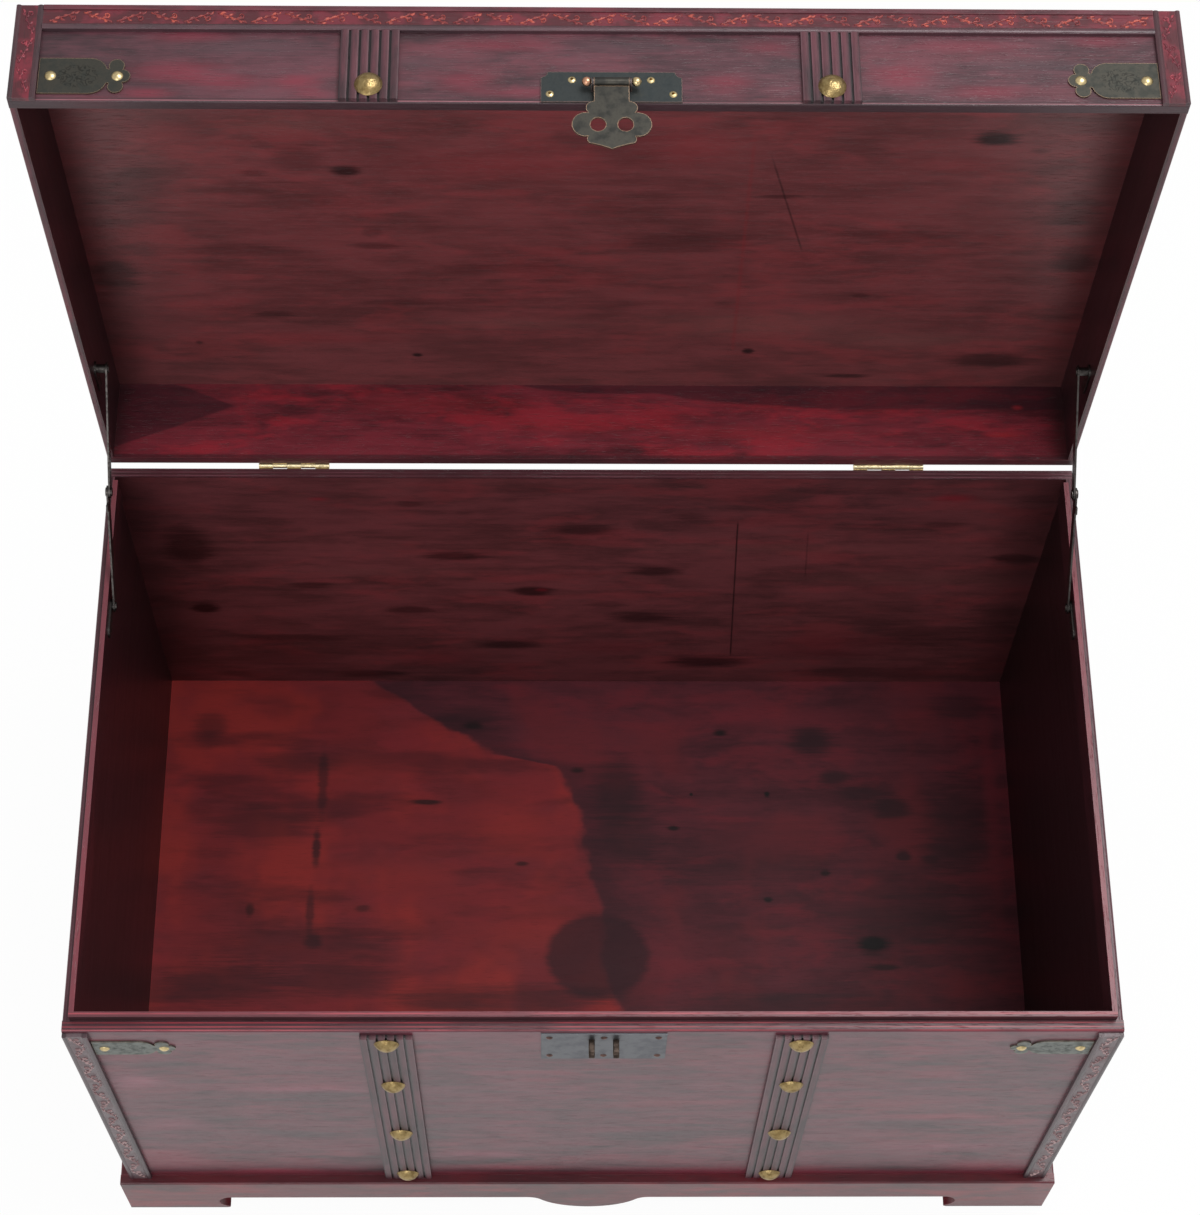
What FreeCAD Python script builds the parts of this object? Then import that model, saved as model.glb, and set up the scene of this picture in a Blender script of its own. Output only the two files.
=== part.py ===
import FreeCAD, Part
import math
import os

# Hinged wooden storage trunk with a flat lid, folding stays, a hasp and a plinth on bracket feet.
# Millimetres. X runs along the front, Y from front to back, Z up. The trunk is modelled round the
# centre of its own footprint, and every piece is moved at the end so that the origin lies on the
# floor under the centre of the box round the open trunk. The lid is modelled shut and then opened.

Vector = FreeCAD.Vector
X_AXIS = Vector(1, 0, 0)
Y_AXIS = Vector(0, 1, 0)
Z_AXIS = Vector(0, 0, 1)
FRONT = Vector(0, -1, 0)
ORIGIN = Vector(0, 0, 0)

# --- box ---
BODY_W = 700.0            # outside width at the rim
BODY_D = 426.0            # outside depth at the rim
RIM_Z = 407.0             # height of the rim
LONG_T = 7.5              # front and back panels
SIDE_T = 5.0              # end panels
WALL_BASE = 40.0          # lower edge of the panels, behind the plinth
RIM_ROUND = 1.8           # worn arris along the rim, front and ends
BACK_ROUND = 0.5          # the same along the back, where it saw no wear
FLOOR_TOP = 66.0
FLOOR_T = 4.0
CLEAT = 12.0              # square section under the floor
LIP_T = 3.5               # dust lip strips inside the rim
LIP_RISE = 8.0
LIP_DEPTH = 28.0          # full height of a lip strip
LIP_BACK_GAP = 7.0        # side lips stop short of the back panel

# --- plinth ---
PLINTH_H = 66.0
PLINTH_PROUD = 7.5
PLINTH_ROUND = 1.5
RAIL_Z = 28.0             # underside between the feet
FOOT_W = 78.0
BITE_DEPTH = 7.5          # concave bite inside each foot
TOE_H = 3.0
SCALLOP_W = 80.0
SCALLOP_Z = 0.8
SCALLOP_FILLET = 12.0
BLOCK = 30.0              # glue block behind each foot

# --- applied strips ---
STRIP_T = 3.5
POST_W = 16.5
POST_TOP_GAP = 3.0        # post stops below the rim
BEAD_OUT = 3.0
BEAD_IN = 3.6
BAND_SUNK = 0.7
STRAP_X = 137.5
STRAP_W = 35.0
STRAP_TOP_GAP = 7.0
REEDS = 6
GROOVE_W = 1.3
GROOVE_DEPTH = 1.4
REED_CROWN = 0.35

# --- lid ---
LID_GAP = 0.6             # between rim and shut lid
LID_H = 69.0
LID_TOP_T = 3.2
BORDER_T = 3.4
BORDER_W = 17.0
LID_CLEAR = 0.5           # lid boards round the dust lips
LID_OPEN_ANGLE = 90.0
VINE_H = 14.0
LID_STRAP_FOOT = 0.6      # strap starts above the lid's lower edge

# --- studs and nails ---
STUD_R = 8.4
STUD_H = 5.0
STUD_SHANK_R = 1.3
STUD_SHANK = 5.5
BODY_STUD_Z = (390.0, 301.0, 186.0, 80.0)
LID_STUD_UP = 11.0        # above the lid's lower edge
TOP_STUD_Y = (-160.0, -54.0, 54.0, 160.0)
NAIL_R = 3.5
NAIL_H = 1.8
NAIL_SHANK_R = 1.0
NAIL_SHANK = 5.0

# --- corner plates ---
PLATE_T = 1.0
PLATE_SQUARE = 30.0
PLATE_H = 26.0
PLATE_SHOULDER = 10.5
PLATE_NECK_H = 10.4
LOBE_R = 4.7
LOBE_OUT = 7.6
LOBE_SIDE_AT = 46.0
LOBE_END_AT = 49.8
PLATE_GAP = 0.3           # to the post beside it
BODY_PLATE_DOWN = 32.3    # plate centre below the rim
LID_PLATE_UP = 18.0       # plate centre above the lid's lower edge
PLATE_NAIL_AT = (7.2, 46.8)

# --- hasp and catch ---
HASP_X = 6.5
CATCH_W = 83.5
CATCH_H = 51.0
CATCH_TOP_GAP = 3.5
CATCH_NAIL_DX = 36.2
CATCH_NAIL_DZ = 18.4
CATCH_NAIL_R = 2.4
CATCH_NAIL_H = 1.1
STAPLE_W = 4.0            # band of a staple, across
STAPLE_T = 1.5
STAPLE_ROUND = 0.5
STAPLE_REACH = 11.8
STAPLE_H = 7.4
STAPLE_LEG = 5.0
STAPLE_SPACING = 16.2
HASP_W = 84.0
HASP_H = 22.0
HASP_T = 1.2
HASP_UP = 0.4             # plate's lower edge above the lid's
HASP_NOTCH_R = 4.0
HASP_PIVOT_UP = 10.7
HASP_STAND = 5.9          # pin's axis in front of the plate
HASP_KNUCKLE_R = 2.6
HASP_KNUCKLE_GAP = 0.2
HASP_PIN_R = 1.15
HASP_LUG_W = 1.2
HASP_CURL_W = 20.9
BALL_R = 2.9
EYELET_R = 2.4
EYELET_H = 0.9
EYELET_BORE_R = 0.9
EYELET_BORE = 2.5         # depth of the bore under the face
EYELET_SHANK_R = 1.5
EYELETS = ((36.6, 6.2), (23.5, 16.6))   # offset from the hasp's middle, height above the lid's edge
FLAP_T = 1.2
FLAP_BACK = 1.4           # flap's back face behind the pin's axis
FLAP_REST_GAP = 0.4       # between the flap's tip and the catch plate, lid shut
FLAP_LEN = 45.5
FLAP_HOLE_DOWN = 28.9
FLAP_HOLE_R = 4.6
FLAP_EAR_DOWN = 17.6
FLAP_EAR_DX = 10.9
FLAP_EAR_R = 4.4
FLAP_LOBE_DX = 15.5
FLAP_LOBE_R = 8.1
FLAP_TOE_DX = 11.6
FLAP_TOE_UP = 6.7         # toe lobes above the tip
FLAP_TOE_R = 3.0
TIP_DIP = 0.3             # hollow of the two curves that meet in the tip

# --- hinges ---
HINGE_X = 216.0
HINGE_LEN = 51.0
HINGE_SEGMENTS = 5
KNUCKLE_R = 2.1
HINGE_OFFSET = 2.5        # axis behind the back panels
HINGE_PIN_R = 1.0
HINGE_END_GAP = 0.2
LEAF_T = 1.0
LEAF_H = 13.5
LEAF_CLEAR = 0.4          # round the other leaf's knuckles
HINGE_SCREW_DX = 17.0
HINGE_SCREW_UP = 9.0
SCREW_R = 2.6
SCREW_H = 1.0
SCREW_SHANK_R = 1.2
SCREW_SHANK = 4.0
RUNNING = 0.05            # radial clearance of a pin that turns

# --- stays ---
STAY_PIVOT_FORWARD = 109.0    # trunk pivot in front of the back face
STAY_PIVOT_DOWN = 6.5         # and below the rim
STAY_LID_FORWARD = 107.0      # lid pivot in front of the lid's back face
STAY_LID_UP = 13.5            # and above the lid's lower edge
KNEE_OUT = 9.5            # knee in front of the line between its two pivots when open
ARM_W = 9.0
ARM_T = 1.2
ARM_GAP = 0.3
ARM_OFF = 1.0             # lower arm clear of the bracket's screw heads
RIVET_R = 1.5
RIVET_HEAD_R = 3.1
RIVET_HEAD_H = 0.8
HEAD_GAP = 0.1
BRACKET_T = 1.2
BRACKET_H = 10.0
BRACKET_REACH = 20.0
BRACKET_SCREWS = (12.0, 20.0)
BRACKET_SCREW_R = 1.9
BRACKET_SCREW_H = 0.7
BOSS_R = 3.0
SPUR = 3.5

# --- values that follow from the sizes above ---
HALF_W = BODY_W / 2
HALF_D = BODY_D / 2
FACE_Y = -HALF_D
STRIP_Y = FACE_Y - STRIP_T
LID_Z = RIM_Z + LID_GAP
LID_WALL_H = LID_H - BORDER_T - LID_TOP_T
HINGE_Y = HALF_D + HINGE_OFFSET
HINGE_Z = RIM_Z + LID_GAP / 2
POST_IN = HALF_W - POST_W
HASP_AXIS_Y = FACE_Y - HASP_T - HASP_STAND
HASP_AXIS_Z = LID_Z + HASP_PIVOT_UP
BALL_DX = HASP_CURL_W / 2 + HASP_KNUCKLE_GAP + HASP_LUG_W + BALL_R
CATCH_Z = RIM_Z - CATCH_TOP_GAP - CATCH_H / 2
STAPLE_Z = HASP_AXIS_Z - FLAP_HOLE_DOWN
LIP_X = HALF_W - SIDE_T - LIP_T
LOWER_X = LIP_X - BRACKET_T - ARM_OFF      # outboard face of the lower arm
UPPER_X = LOWER_X - ARM_T - ARM_GAP        # and of the upper arm
STAY_PIVOT = (HALF_D - STAY_PIVOT_FORWARD, RIM_Z - STAY_PIVOT_DOWN)
BOX_FRONT = FACE_Y - PLATE_T - STAPLE_REACH
BOX_BACK = HINGE_Y + LID_H + LID_GAP / 2 + STUD_H
ORIGIN_Y = (BOX_FRONT + BOX_BACK) / 2


def block(x0, x1, y0, y1, z0, z1):
    """Box between two corners."""
    return Part.makeBox(x1 - x0, y1 - y0, z1 - z0, Vector(x0, y0, z0))


def rod(radius, start, direction, length):
    """Round bar from a point along a direction."""
    return Part.makeCylinder(radius, length, start, direction)


def merged(shapes):
    """One solid from pieces that overlap."""
    return shapes[0].multiFuse(shapes[1:]).removeSplitter()


def group(shapes):
    """Separate solids that share a node."""
    return Part.makeCompound(shapes)


def drilled(shape, tools):
    """A piece with room for the shanks that pass through it."""
    return shape.cut(group(tools))


def mirrored(shape):
    """The same piece on the other side of the trunk."""
    return shape.mirror(ORIGIN, X_AXIS)


def both_sides(shape):
    return [mirrored(shape), shape]


def plate(edges, direction):
    """Flat piece from a closed outline."""
    return Part.Face(Part.Wire(edges)).extrude(direction)


def polyline(points):
    return [Part.LineSegment(a, b).toShape() for a, b in zip(points[:-1], points[1:])]


def arc(start, middle, end):
    return Part.Arc(start, middle, end).toShape()


def turned(shape, x_to, y_to, z_to, at):
    """Lay a piece made along its own axes into the trunk."""
    matrix = FreeCAD.Matrix(x_to.x, y_to.x, z_to.x, at.x,
                            x_to.y, y_to.y, z_to.y, at.y,
                            x_to.z, y_to.z, z_to.z, at.z,
                            0, 0, 0, 1)
    placed = shape.copy()
    placed.Placement = FreeCAD.Placement(matrix)
    return placed


def rounded_along(shape, radius, picked):
    """Round the edges that a test picks out by their middle point."""
    edges = [edge for edge in shape.Edges if picked(edge.CenterOfMass)]
    return shape.makeFillet(radius, edges)


def dome_head(radius, height):
    """Low round head on the plane Z = 0."""
    sphere_r = (radius ** 2 + height ** 2) / (2 * height)
    half_angle = math.asin(min(1.0, radius / sphere_r)) / 2
    shoulder = Vector(sphere_r * math.sin(half_angle), 0, height - sphere_r + sphere_r * math.cos(half_angle))
    rim = Vector(radius, 0, 0)
    top = Vector(0, 0, height)
    edges = polyline([top, ORIGIN, rim]) + [arc(rim, shoulder, top)]
    return Part.Face(Part.Wire(edges)).revolve(ORIGIN, Z_AXIS, 360)


def fastener(head_r, head_h, shank_r, shank, at, outward):
    """Nail or screw whose head rests on a face at a point."""
    whole = merged([dome_head(head_r, head_h), rod(shank_r, Vector(0, 0, -shank), Z_AXIS, shank)])
    whole.Placement = FreeCAD.Placement(at, FreeCAD.Rotation(Z_AXIS, outward))
    return whole


def shank_tool(shank_r, shank, at, outward):
    """What a fastener's shank takes out of the pieces behind its head."""
    return rod(shank_r, at, outward * -1, shank)


# --- strips with a profile; across X, proud along Y, length along Z ---

def bead_profile(width, bead_low, bead_high):
    """Flat strip with a sunk band between one or two round beads."""
    rise = BAND_SUNK
    low = STRIP_T - rise
    points = [Vector(0, low, 0), ORIGIN, Vector(width, 0, 0), Vector(width, low, 0)]
    edges = polyline(points)
    right = Vector(width - bead_high, low, 0)
    edges.append(arc(points[3], Vector(width - bead_high / 2, STRIP_T, 0), right))
    if bead_low > 0:
        left = Vector(bead_low, low, 0)
        edges += polyline([right, left])
        edges.append(arc(left, Vector(bead_low / 2, STRIP_T, 0), points[0]))
    else:
        edges += polyline([right, points[0]])
    return edges


def reeded_profile(width, thickness):
    """Strip of equal reeds with grooves between them."""
    pitch = (width + GROOVE_W) / REEDS
    reed = pitch - GROOVE_W
    shoulder = thickness - REED_CROWN
    floor = thickness - GROOVE_DEPTH
    edges = polyline([Vector(0, shoulder, 0), ORIGIN, Vector(width, 0, 0), Vector(width, shoulder, 0)])
    for number in reversed(range(REEDS)):
        left = number * pitch
        crown = Vector(left + reed / 2, thickness, 0)
        edges.append(arc(Vector(left + reed, shoulder, 0), crown, Vector(left, shoulder, 0)))
        if number > 0:
            edges += polyline([Vector(left, shoulder, 0), Vector(left, floor, 0),
                               Vector(left - GROOVE_W, floor, 0), Vector(left - GROOVE_W, shoulder, 0)])
    return edges


def front_post(foot, top):
    """Right-hand post on the front, band outside and wide bead inside."""
    strip = plate(bead_profile(POST_W, BEAD_OUT, BEAD_IN), Z_AXIS * (top - foot))
    return turned(strip, X_AXIS * -1, Y_AXIS * -1, Z_AXIS, Vector(HALF_W, FACE_Y, foot))


def front_strap(x_middle, foot, top):
    strip = plate(reeded_profile(STRAP_W, STRIP_T), Z_AXIS * (top - foot))
    return turned(strip, X_AXIS * -1, Y_AXIS * -1, Z_AXIS, Vector(x_middle + STRAP_W / 2, FACE_Y, foot))


# --- box ---

def outer_round(side):
    """Radius along the outer rim of a front (-1) or back (+1) panel."""
    return RIM_ROUND if side < 0 else BACK_ROUND


def long_panel(side):
    """Front (-1) or back (+1) panel with its rim arris rounded."""
    outer = side * HALF_D
    inner = side * (HALF_D - LONG_T)
    panel = block(-HALF_W, HALF_W, min(outer, inner), max(outer, inner), WALL_BASE, RIM_Z)
    return rounded_along(panel, outer_round(side),
                         lambda p: abs(p.z - RIM_Z) < 0.01 and abs(p.y - outer) < 0.01)


def side_panel():
    inner_y = HALF_D - LONG_T
    panel = block(HALF_W - SIDE_T, HALF_W, -inner_y, inner_y, WALL_BASE, RIM_Z)
    return rounded_along(panel, RIM_ROUND,
                         lambda p: abs(p.z - RIM_Z) < 0.01 and abs(p.x - HALF_W) < 0.01)


def foot_edges(half, sign):
    """Outline of one foot, from its outer corner to the rail, in the XZ plane."""
    inner = half - FOOT_W
    middle_z = (RAIL_Z + TOE_H) / 2
    toe = Vector(sign * inner, 0, TOE_H)
    heel = Vector(sign * (inner + TOE_H), 0, 0)
    turn = TOE_H * (1 - math.sqrt(0.5))
    return [
        Part.LineSegment(Vector(sign * half, 0, 0), heel).toShape(),
        arc(heel, Vector(sign * (inner + turn), 0, turn), toe),
        arc(toe, Vector(sign * (inner + BITE_DEPTH), 0, middle_z), Vector(sign * inner, 0, RAIL_Z)),
    ]


def scallop_solid(thickness):
    """Round belly that hangs from the rail of a long plinth board."""
    drop = RAIL_Z - SCALLOP_Z
    radius = ((SCALLOP_W / 2) ** 2 + drop ** 2) / (2 * drop)
    disc = rod(radius, Vector(0, 0, SCALLOP_Z + radius), Y_AXIS, thickness)
    reach = SCALLOP_W / 2 + SCALLOP_FILLET
    belly = disc.common(block(-reach, reach, 0, thickness, 0, RAIL_Z))
    skirt = block(-reach, reach, 0, thickness, RAIL_Z, RAIL_Z + SCALLOP_FILLET)
    return belly, skirt


def plinth_board(half, thickness, scalloped):
    """Board in the XZ plane from Y = 0 back to its thickness, cut into two feet and a rail."""
    edges = polyline([Vector(half, 0, 0), Vector(half, 0, PLINTH_H),
                      Vector(-half, 0, PLINTH_H), Vector(-half, 0, 0)])
    edges += foot_edges(half, -1)
    edges += foot_edges(half, 1)
    inner = half - FOOT_W
    edges += polyline([Vector(-inner, 0, RAIL_Z), Vector(inner, 0, RAIL_Z)])
    board = plate(Part.__sortEdges__(edges), Y_AXIS * thickness)
    if scalloped:
        belly, skirt = scallop_solid(thickness)
        board = merged([board, belly, skirt])
        board = rounded_along(board, SCALLOP_FILLET,
                              lambda p: abs(p.z - RAIL_Z) < 0.01 and abs(abs(p.x) - SCALLOP_W / 2) < 0.01)
    return rounded_along(board, PLINTH_ROUND,
                         lambda p: abs(p.z - PLINTH_H) < 0.01 and abs(p.y) < 0.01)


def plinth_front():
    board = plinth_board(HALF_W + PLINTH_PROUD, PLINTH_PROUD, True)
    return turned(board, X_AXIS, Y_AXIS, Z_AXIS, Vector(0, FACE_Y - PLINTH_PROUD, 0))


def plinth_back():
    board = plinth_board(HALF_W + PLINTH_PROUD, PLINTH_PROUD, True)
    return turned(board, X_AXIS * -1, Y_AXIS * -1, Z_AXIS, Vector(0, HALF_D + PLINTH_PROUD, 0))


def plinth_side():
    """Right-hand end of the plinth, between the long boards."""
    board = plinth_board(HALF_D + PLINTH_PROUD, PLINTH_PROUD, False)
    trim = block(-HALF_D, HALF_D, 0, PLINTH_PROUD, 0, PLINTH_H)
    return turned(board.common(trim), Y_AXIS, X_AXIS * -1, Z_AXIS, Vector(HALF_W + PLINTH_PROUD, 0, 0))


def foot_blocks():
    blocks = []
    for x in (-HALF_W, HALF_W - BLOCK):
        for y in (-HALF_D, HALF_D - BLOCK):
            blocks.append(block(x, x + BLOCK, y, y + BLOCK, 0, WALL_BASE))
    return group(blocks)


def floor_cleats():
    in_x = HALF_W - SIDE_T
    in_y = HALF_D - LONG_T
    top = FLOOR_TOP - FLOOR_T
    return group([
        block(-in_x, in_x, -in_y, CLEAT - in_y, top - CLEAT, top),
        block(-in_x, in_x, in_y - CLEAT, in_y, top - CLEAT, top),
        block(-in_x, CLEAT - in_x, CLEAT - in_y, in_y - CLEAT, top - CLEAT, top),
        block(in_x - CLEAT, in_x, CLEAT - in_y, in_y - CLEAT, top - CLEAT, top),
    ])


def floor_panel():
    in_x = HALF_W - SIDE_T
    in_y = HALF_D - LONG_T
    return block(-in_x, in_x, -in_y, in_y, FLOOR_TOP - FLOOR_T, FLOOR_TOP)


def lip_front():
    in_x = HALF_W - SIDE_T
    in_y = HALF_D - LONG_T
    top = RIM_Z + LIP_RISE
    return block(-in_x, in_x, -in_y, LIP_T - in_y, top - LIP_DEPTH, top)


def lip_side():
    in_x = HALF_W - SIDE_T
    in_y = HALF_D - LONG_T
    top = RIM_Z + LIP_RISE
    return block(in_x - LIP_T, in_x, LIP_T - in_y, in_y - LIP_BACK_GAP, top - LIP_DEPTH, top)


# --- studs, corner plates, catch ---

def stud(at, outward):
    return fastener(STUD_R, STUD_H, STUD_SHANK_R, STUD_SHANK + STRIP_T, at, outward)


def stud_tool(at, outward):
    return shank_tool(STUD_SHANK_R, STUD_SHANK + STRIP_T, at, outward)


def body_stud_places():
    return [Vector(side * STRAP_X, STRIP_Y, z) for side in (-1, 1) for z in BODY_STUD_Z]


def lid_stud_places():
    return [Vector(side * STRAP_X, STRIP_Y, LID_Z + LID_STUD_UP) for side in (-1, 1)]


def top_stud_places():
    return [Vector(side * STRAP_X, y, LID_Z + LID_H) for side in (-1, 1) for y in TOP_STUD_Y]


def top_stud(at):
    return fastener(STUD_R, STUD_H, STUD_SHANK_R, BORDER_T + LID_TOP_T / 2, at, Z_AXIS)


def top_stud_tool(at):
    return shank_tool(STUD_SHANK_R, BORDER_T + LID_TOP_T / 2, at, Z_AXIS)


def corner_plate(z_middle):
    """Right-hand plate: square end by the post, ogee shoulder and a trefoil towards the middle."""
    outer = POST_IN - PLATE_GAP
    half = PLATE_H / 2
    neck = PLATE_NECK_H / 2
    thick = FRONT * PLATE_T
    base = FACE_Y

    def at(along, up):
        return Vector(outer - along, base, z_middle + up)

    shoulder = PLATE_SQUARE + PLATE_SHOULDER
    bulge = PLATE_SQUARE + 0.62 * PLATE_SHOULDER
    bulge_up = neck + 0.74 * (half - neck)
    outline = polyline([at(PLATE_SQUARE, -half), at(0, -half), at(0, half), at(PLATE_SQUARE, half)])
    outline.append(arc(at(PLATE_SQUARE, half), at(bulge, bulge_up), at(shoulder, neck)))
    outline += polyline([at(shoulder, neck), at(LOBE_SIDE_AT, neck), at(LOBE_SIDE_AT, -neck),
                         at(shoulder, -neck)])
    outline.append(arc(at(shoulder, -neck), at(bulge, -bulge_up), at(PLATE_SQUARE, -half)))
    lobes = [(LOBE_SIDE_AT, LOBE_OUT), (LOBE_SIDE_AT, -LOBE_OUT), (LOBE_END_AT, 0)]
    discs = [rod(LOBE_R, at(along, up), FRONT, PLATE_T) for along, up in lobes]
    whole = merged([plate(Part.__sortEdges__(outline), thick)] + discs)
    return drilled(whole, plate_nail_tools(z_middle))


def plate_nail_places(z_middle):
    """Heads of the right-hand plate's two nails."""
    outer = POST_IN - PLATE_GAP
    return [Vector(outer - along, FACE_Y - PLATE_T, z_middle) for along in PLATE_NAIL_AT]


def plate_nail_tools(z_middle):
    return [shank_tool(NAIL_SHANK_R, NAIL_SHANK, at, FRONT) for at in plate_nail_places(z_middle)]


def plate_nails(z_middle):
    nails = []
    for at in plate_nail_places(z_middle):
        nails += both_sides(fastener(NAIL_R, NAIL_H, NAIL_SHANK_R, NAIL_SHANK, at, FRONT))
    return group(nails)


def catch_nail_places():
    columns = (-CATCH_NAIL_DX, 0, CATCH_NAIL_DX)
    rows = (-CATCH_NAIL_DZ, CATCH_NAIL_DZ)
    return [Vector(HASP_X + dx, FACE_Y - PLATE_T, CATCH_Z + dz) for dx in columns for dz in rows]


def catch_nail_tools():
    return [shank_tool(NAIL_SHANK_R, NAIL_SHANK, at, FRONT) for at in catch_nail_places()]


def catch_nails():
    return group([fastener(CATCH_NAIL_R, CATCH_NAIL_H, NAIL_SHANK_R, NAIL_SHANK, at, FRONT)
                  for at in catch_nail_places()])


def staple_legs():
    """Lower and upper height of each leg of a staple."""
    half = STAPLE_H / 2
    return [(STAPLE_Z - half, STAPLE_Z - half + STAPLE_T), (STAPLE_Z + half - STAPLE_T, STAPLE_Z + half)]


def staple(x):
    """Upright eye of flat band: two legs through the catch plate and a round end towards the front."""
    left = x - STAPLE_W / 2
    root = FACE_Y + STAPLE_LEG
    outer = STAPLE_H / 2
    inner = outer - STAPLE_T
    bend = FACE_Y - PLATE_T - STAPLE_REACH + outer

    def at(y, up):
        return Vector(left, y, STAPLE_Z + up)

    edges = [arc(at(bend, outer), at(bend - outer, 0), at(bend, -outer)),
             arc(at(bend, -inner), at(bend - inner, 0), at(bend, inner))]
    edges += polyline([at(bend, -outer), at(root, -outer), at(root, -inner), at(bend, -inner)])
    edges += polyline([at(bend, inner), at(root, inner), at(root, outer), at(bend, outer)])
    band = plate(Part.__sortEdges__(edges), X_AXIS * STAPLE_W)

    def on_outside(p):
        at_side = abs(abs(p.x - x) - STAPLE_W / 2) < 0.01
        on_leg = abs(abs(p.z - STAPLE_Z) - outer) < 0.01
        return at_side and (on_leg or abs(p.y - bend + 2 * outer / math.pi) < 0.01)

    return rounded_along(band, STAPLE_ROUND, on_outside)


def staple_places():
    return [HASP_X - STAPLE_SPACING / 2, HASP_X + STAPLE_SPACING / 2]


def staple_tools():
    """Slots for the legs."""
    return [block(x - STAPLE_W / 2, x + STAPLE_W / 2, FACE_Y - PLATE_T, FACE_Y + STAPLE_LEG, low, high)
            for x in staple_places() for low, high in staple_legs()]


def catch_staples():
    return group([staple(x) for x in staple_places()])


def catch_plate():
    sheet = block(HASP_X - CATCH_W / 2, HASP_X + CATCH_W / 2, FACE_Y - PLATE_T, FACE_Y,
                  CATCH_Z - CATCH_H / 2, CATCH_Z + CATCH_H / 2)
    return drilled(sheet, catch_nail_tools() + staple_tools())


# --- hinges ---

def hinge_screw_places(up):
    """Right-hand hinge, above (+1) or below (-1) its axis."""
    z = HINGE_Z + up * HINGE_SCREW_UP
    return [Vector(HINGE_X + dx, HALF_D + LEAF_T, z) for dx in (-HINGE_SCREW_DX, HINGE_SCREW_DX)]


def hinge_screws(up):
    screws = []
    for at in hinge_screw_places(up):
        screws += both_sides(fastener(SCREW_R, SCREW_H, SCREW_SHANK_R, SCREW_SHANK + LEAF_T, at, Y_AXIS))
    return group(screws)


def hinge_screw_tools(up):
    tools = []
    for at in hinge_screw_places(up):
        tools += both_sides(shank_tool(SCREW_SHANK_R, SCREW_SHANK + LEAF_T, at, Y_AXIS))
    return tools


def hinge_leaf(up, bore_r):
    """Right-hand leaf; the lower one has the outer knuckles and the upper one the knuckles between."""
    x0 = HINGE_X - HINGE_LEN / 2
    segment = HINGE_LEN / HINGE_SEGMENTS
    reach = KNUCKLE_R + LEAF_CLEAR
    near, far = sorted((HINGE_Z + up * reach, HINGE_Z + up * LEAF_H))
    parts = [block(x0, x0 + HINGE_LEN, HALF_D, HALF_D + LEAF_T, near, far)]
    for number in range(0 if up < 0 else 1, HINGE_SEGMENTS, 2):
        start = x0 + number * segment + HINGE_END_GAP / 2
        width = segment - HINGE_END_GAP
        low, high = sorted((HINGE_Z, HINGE_Z + up * (reach + LEAF_T)))
        parts.append(block(start, start + width, HALF_D, HALF_D + LEAF_T, low, high))
        parts.append(rod(KNUCKLE_R, Vector(start, HINGE_Y, HINGE_Z), X_AXIS, width))
    leaf = merged(parts)
    bore = rod(bore_r, Vector(x0, HINGE_Y, HINGE_Z), X_AXIS, HINGE_LEN)
    return drilled(leaf, [bore] + hinge_screw_tools(up))


def hinge_leaves(up, bore_r):
    return group(both_sides(hinge_leaf(up, bore_r)))


def hinge_pins():
    start = Vector(HINGE_X - HINGE_LEN / 2, HINGE_Y, HINGE_Z)
    return group(both_sides(rod(HINGE_PIN_R, start, X_AXIS, HINGE_LEN)))


# --- stays; right-hand side, thin pieces side by side along X ---

def link(x_outer, thickness, start, end, width, holes):
    """Flat arm with round ends between two points of the YZ plane."""
    (y0, z0), (y1, z1) = start, end
    length = math.hypot(y1 - y0, z1 - z0)
    inner = x_outer - thickness
    bar = block(0, thickness, 0, length, -width / 2, width / 2)
    along = Vector(0, (y1 - y0) / length, (z1 - z0) / length)
    across = X_AXIS.cross(along)
    bar = turned(bar, X_AXIS, along, across, Vector(inner, y0, z0))
    ends = [rod(width / 2, Vector(inner, y, z), X_AXIS, thickness) for y, z in (start, end)]
    tools = [rod(radius, Vector(inner, y, z), X_AXIS, thickness) for y, z, radius in holes]
    return drilled(merged([bar] + ends), tools)


def opened_point(y, z):
    """Where a point of the shut lid lies when the lid is open."""
    angle = -math.radians(LID_OPEN_ANGLE)
    dy = y - HINGE_Y
    dz = z - HINGE_Z
    return (HINGE_Y + dy * math.cos(angle) - dz * math.sin(angle),
            HINGE_Z + dy * math.sin(angle) + dz * math.cos(angle))


def knee_point(lid_pivot):
    """Knee of a stay, on the front side of the line from the trunk's pivot to the lid's."""
    dy = lid_pivot[0] - STAY_PIVOT[0]
    dz = lid_pivot[1] - STAY_PIVOT[1]
    span = math.hypot(dy, dz)
    out = math.sqrt(ARM_LEN ** 2 - (span / 2) ** 2)
    return (STAY_PIVOT[0] + dy / 2 - out * dz / span, STAY_PIVOT[1] + dz / 2 + out * dy / span)


LID_PIVOT_SHUT = (HALF_D - STAY_LID_FORWARD, LID_Z + STAY_LID_UP)
LID_PIVOT_OPEN = opened_point(*LID_PIVOT_SHUT)
ARM_LEN = math.hypot(math.dist(STAY_PIVOT, LID_PIVOT_OPEN) / 2, KNEE_OUT)
KNEE_OPEN = knee_point(LID_PIVOT_OPEN)


def rivet(x_head, x_end, point):
    """Rivet along X with its head inboard."""
    head = rod(RIVET_HEAD_R, Vector(x_head - RIVET_HEAD_H, *point), X_AXIS, RIVET_HEAD_H)
    return merged([head, rod(RIVET_R, Vector(x_head, *point), X_AXIS, x_end - x_head)])


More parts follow.
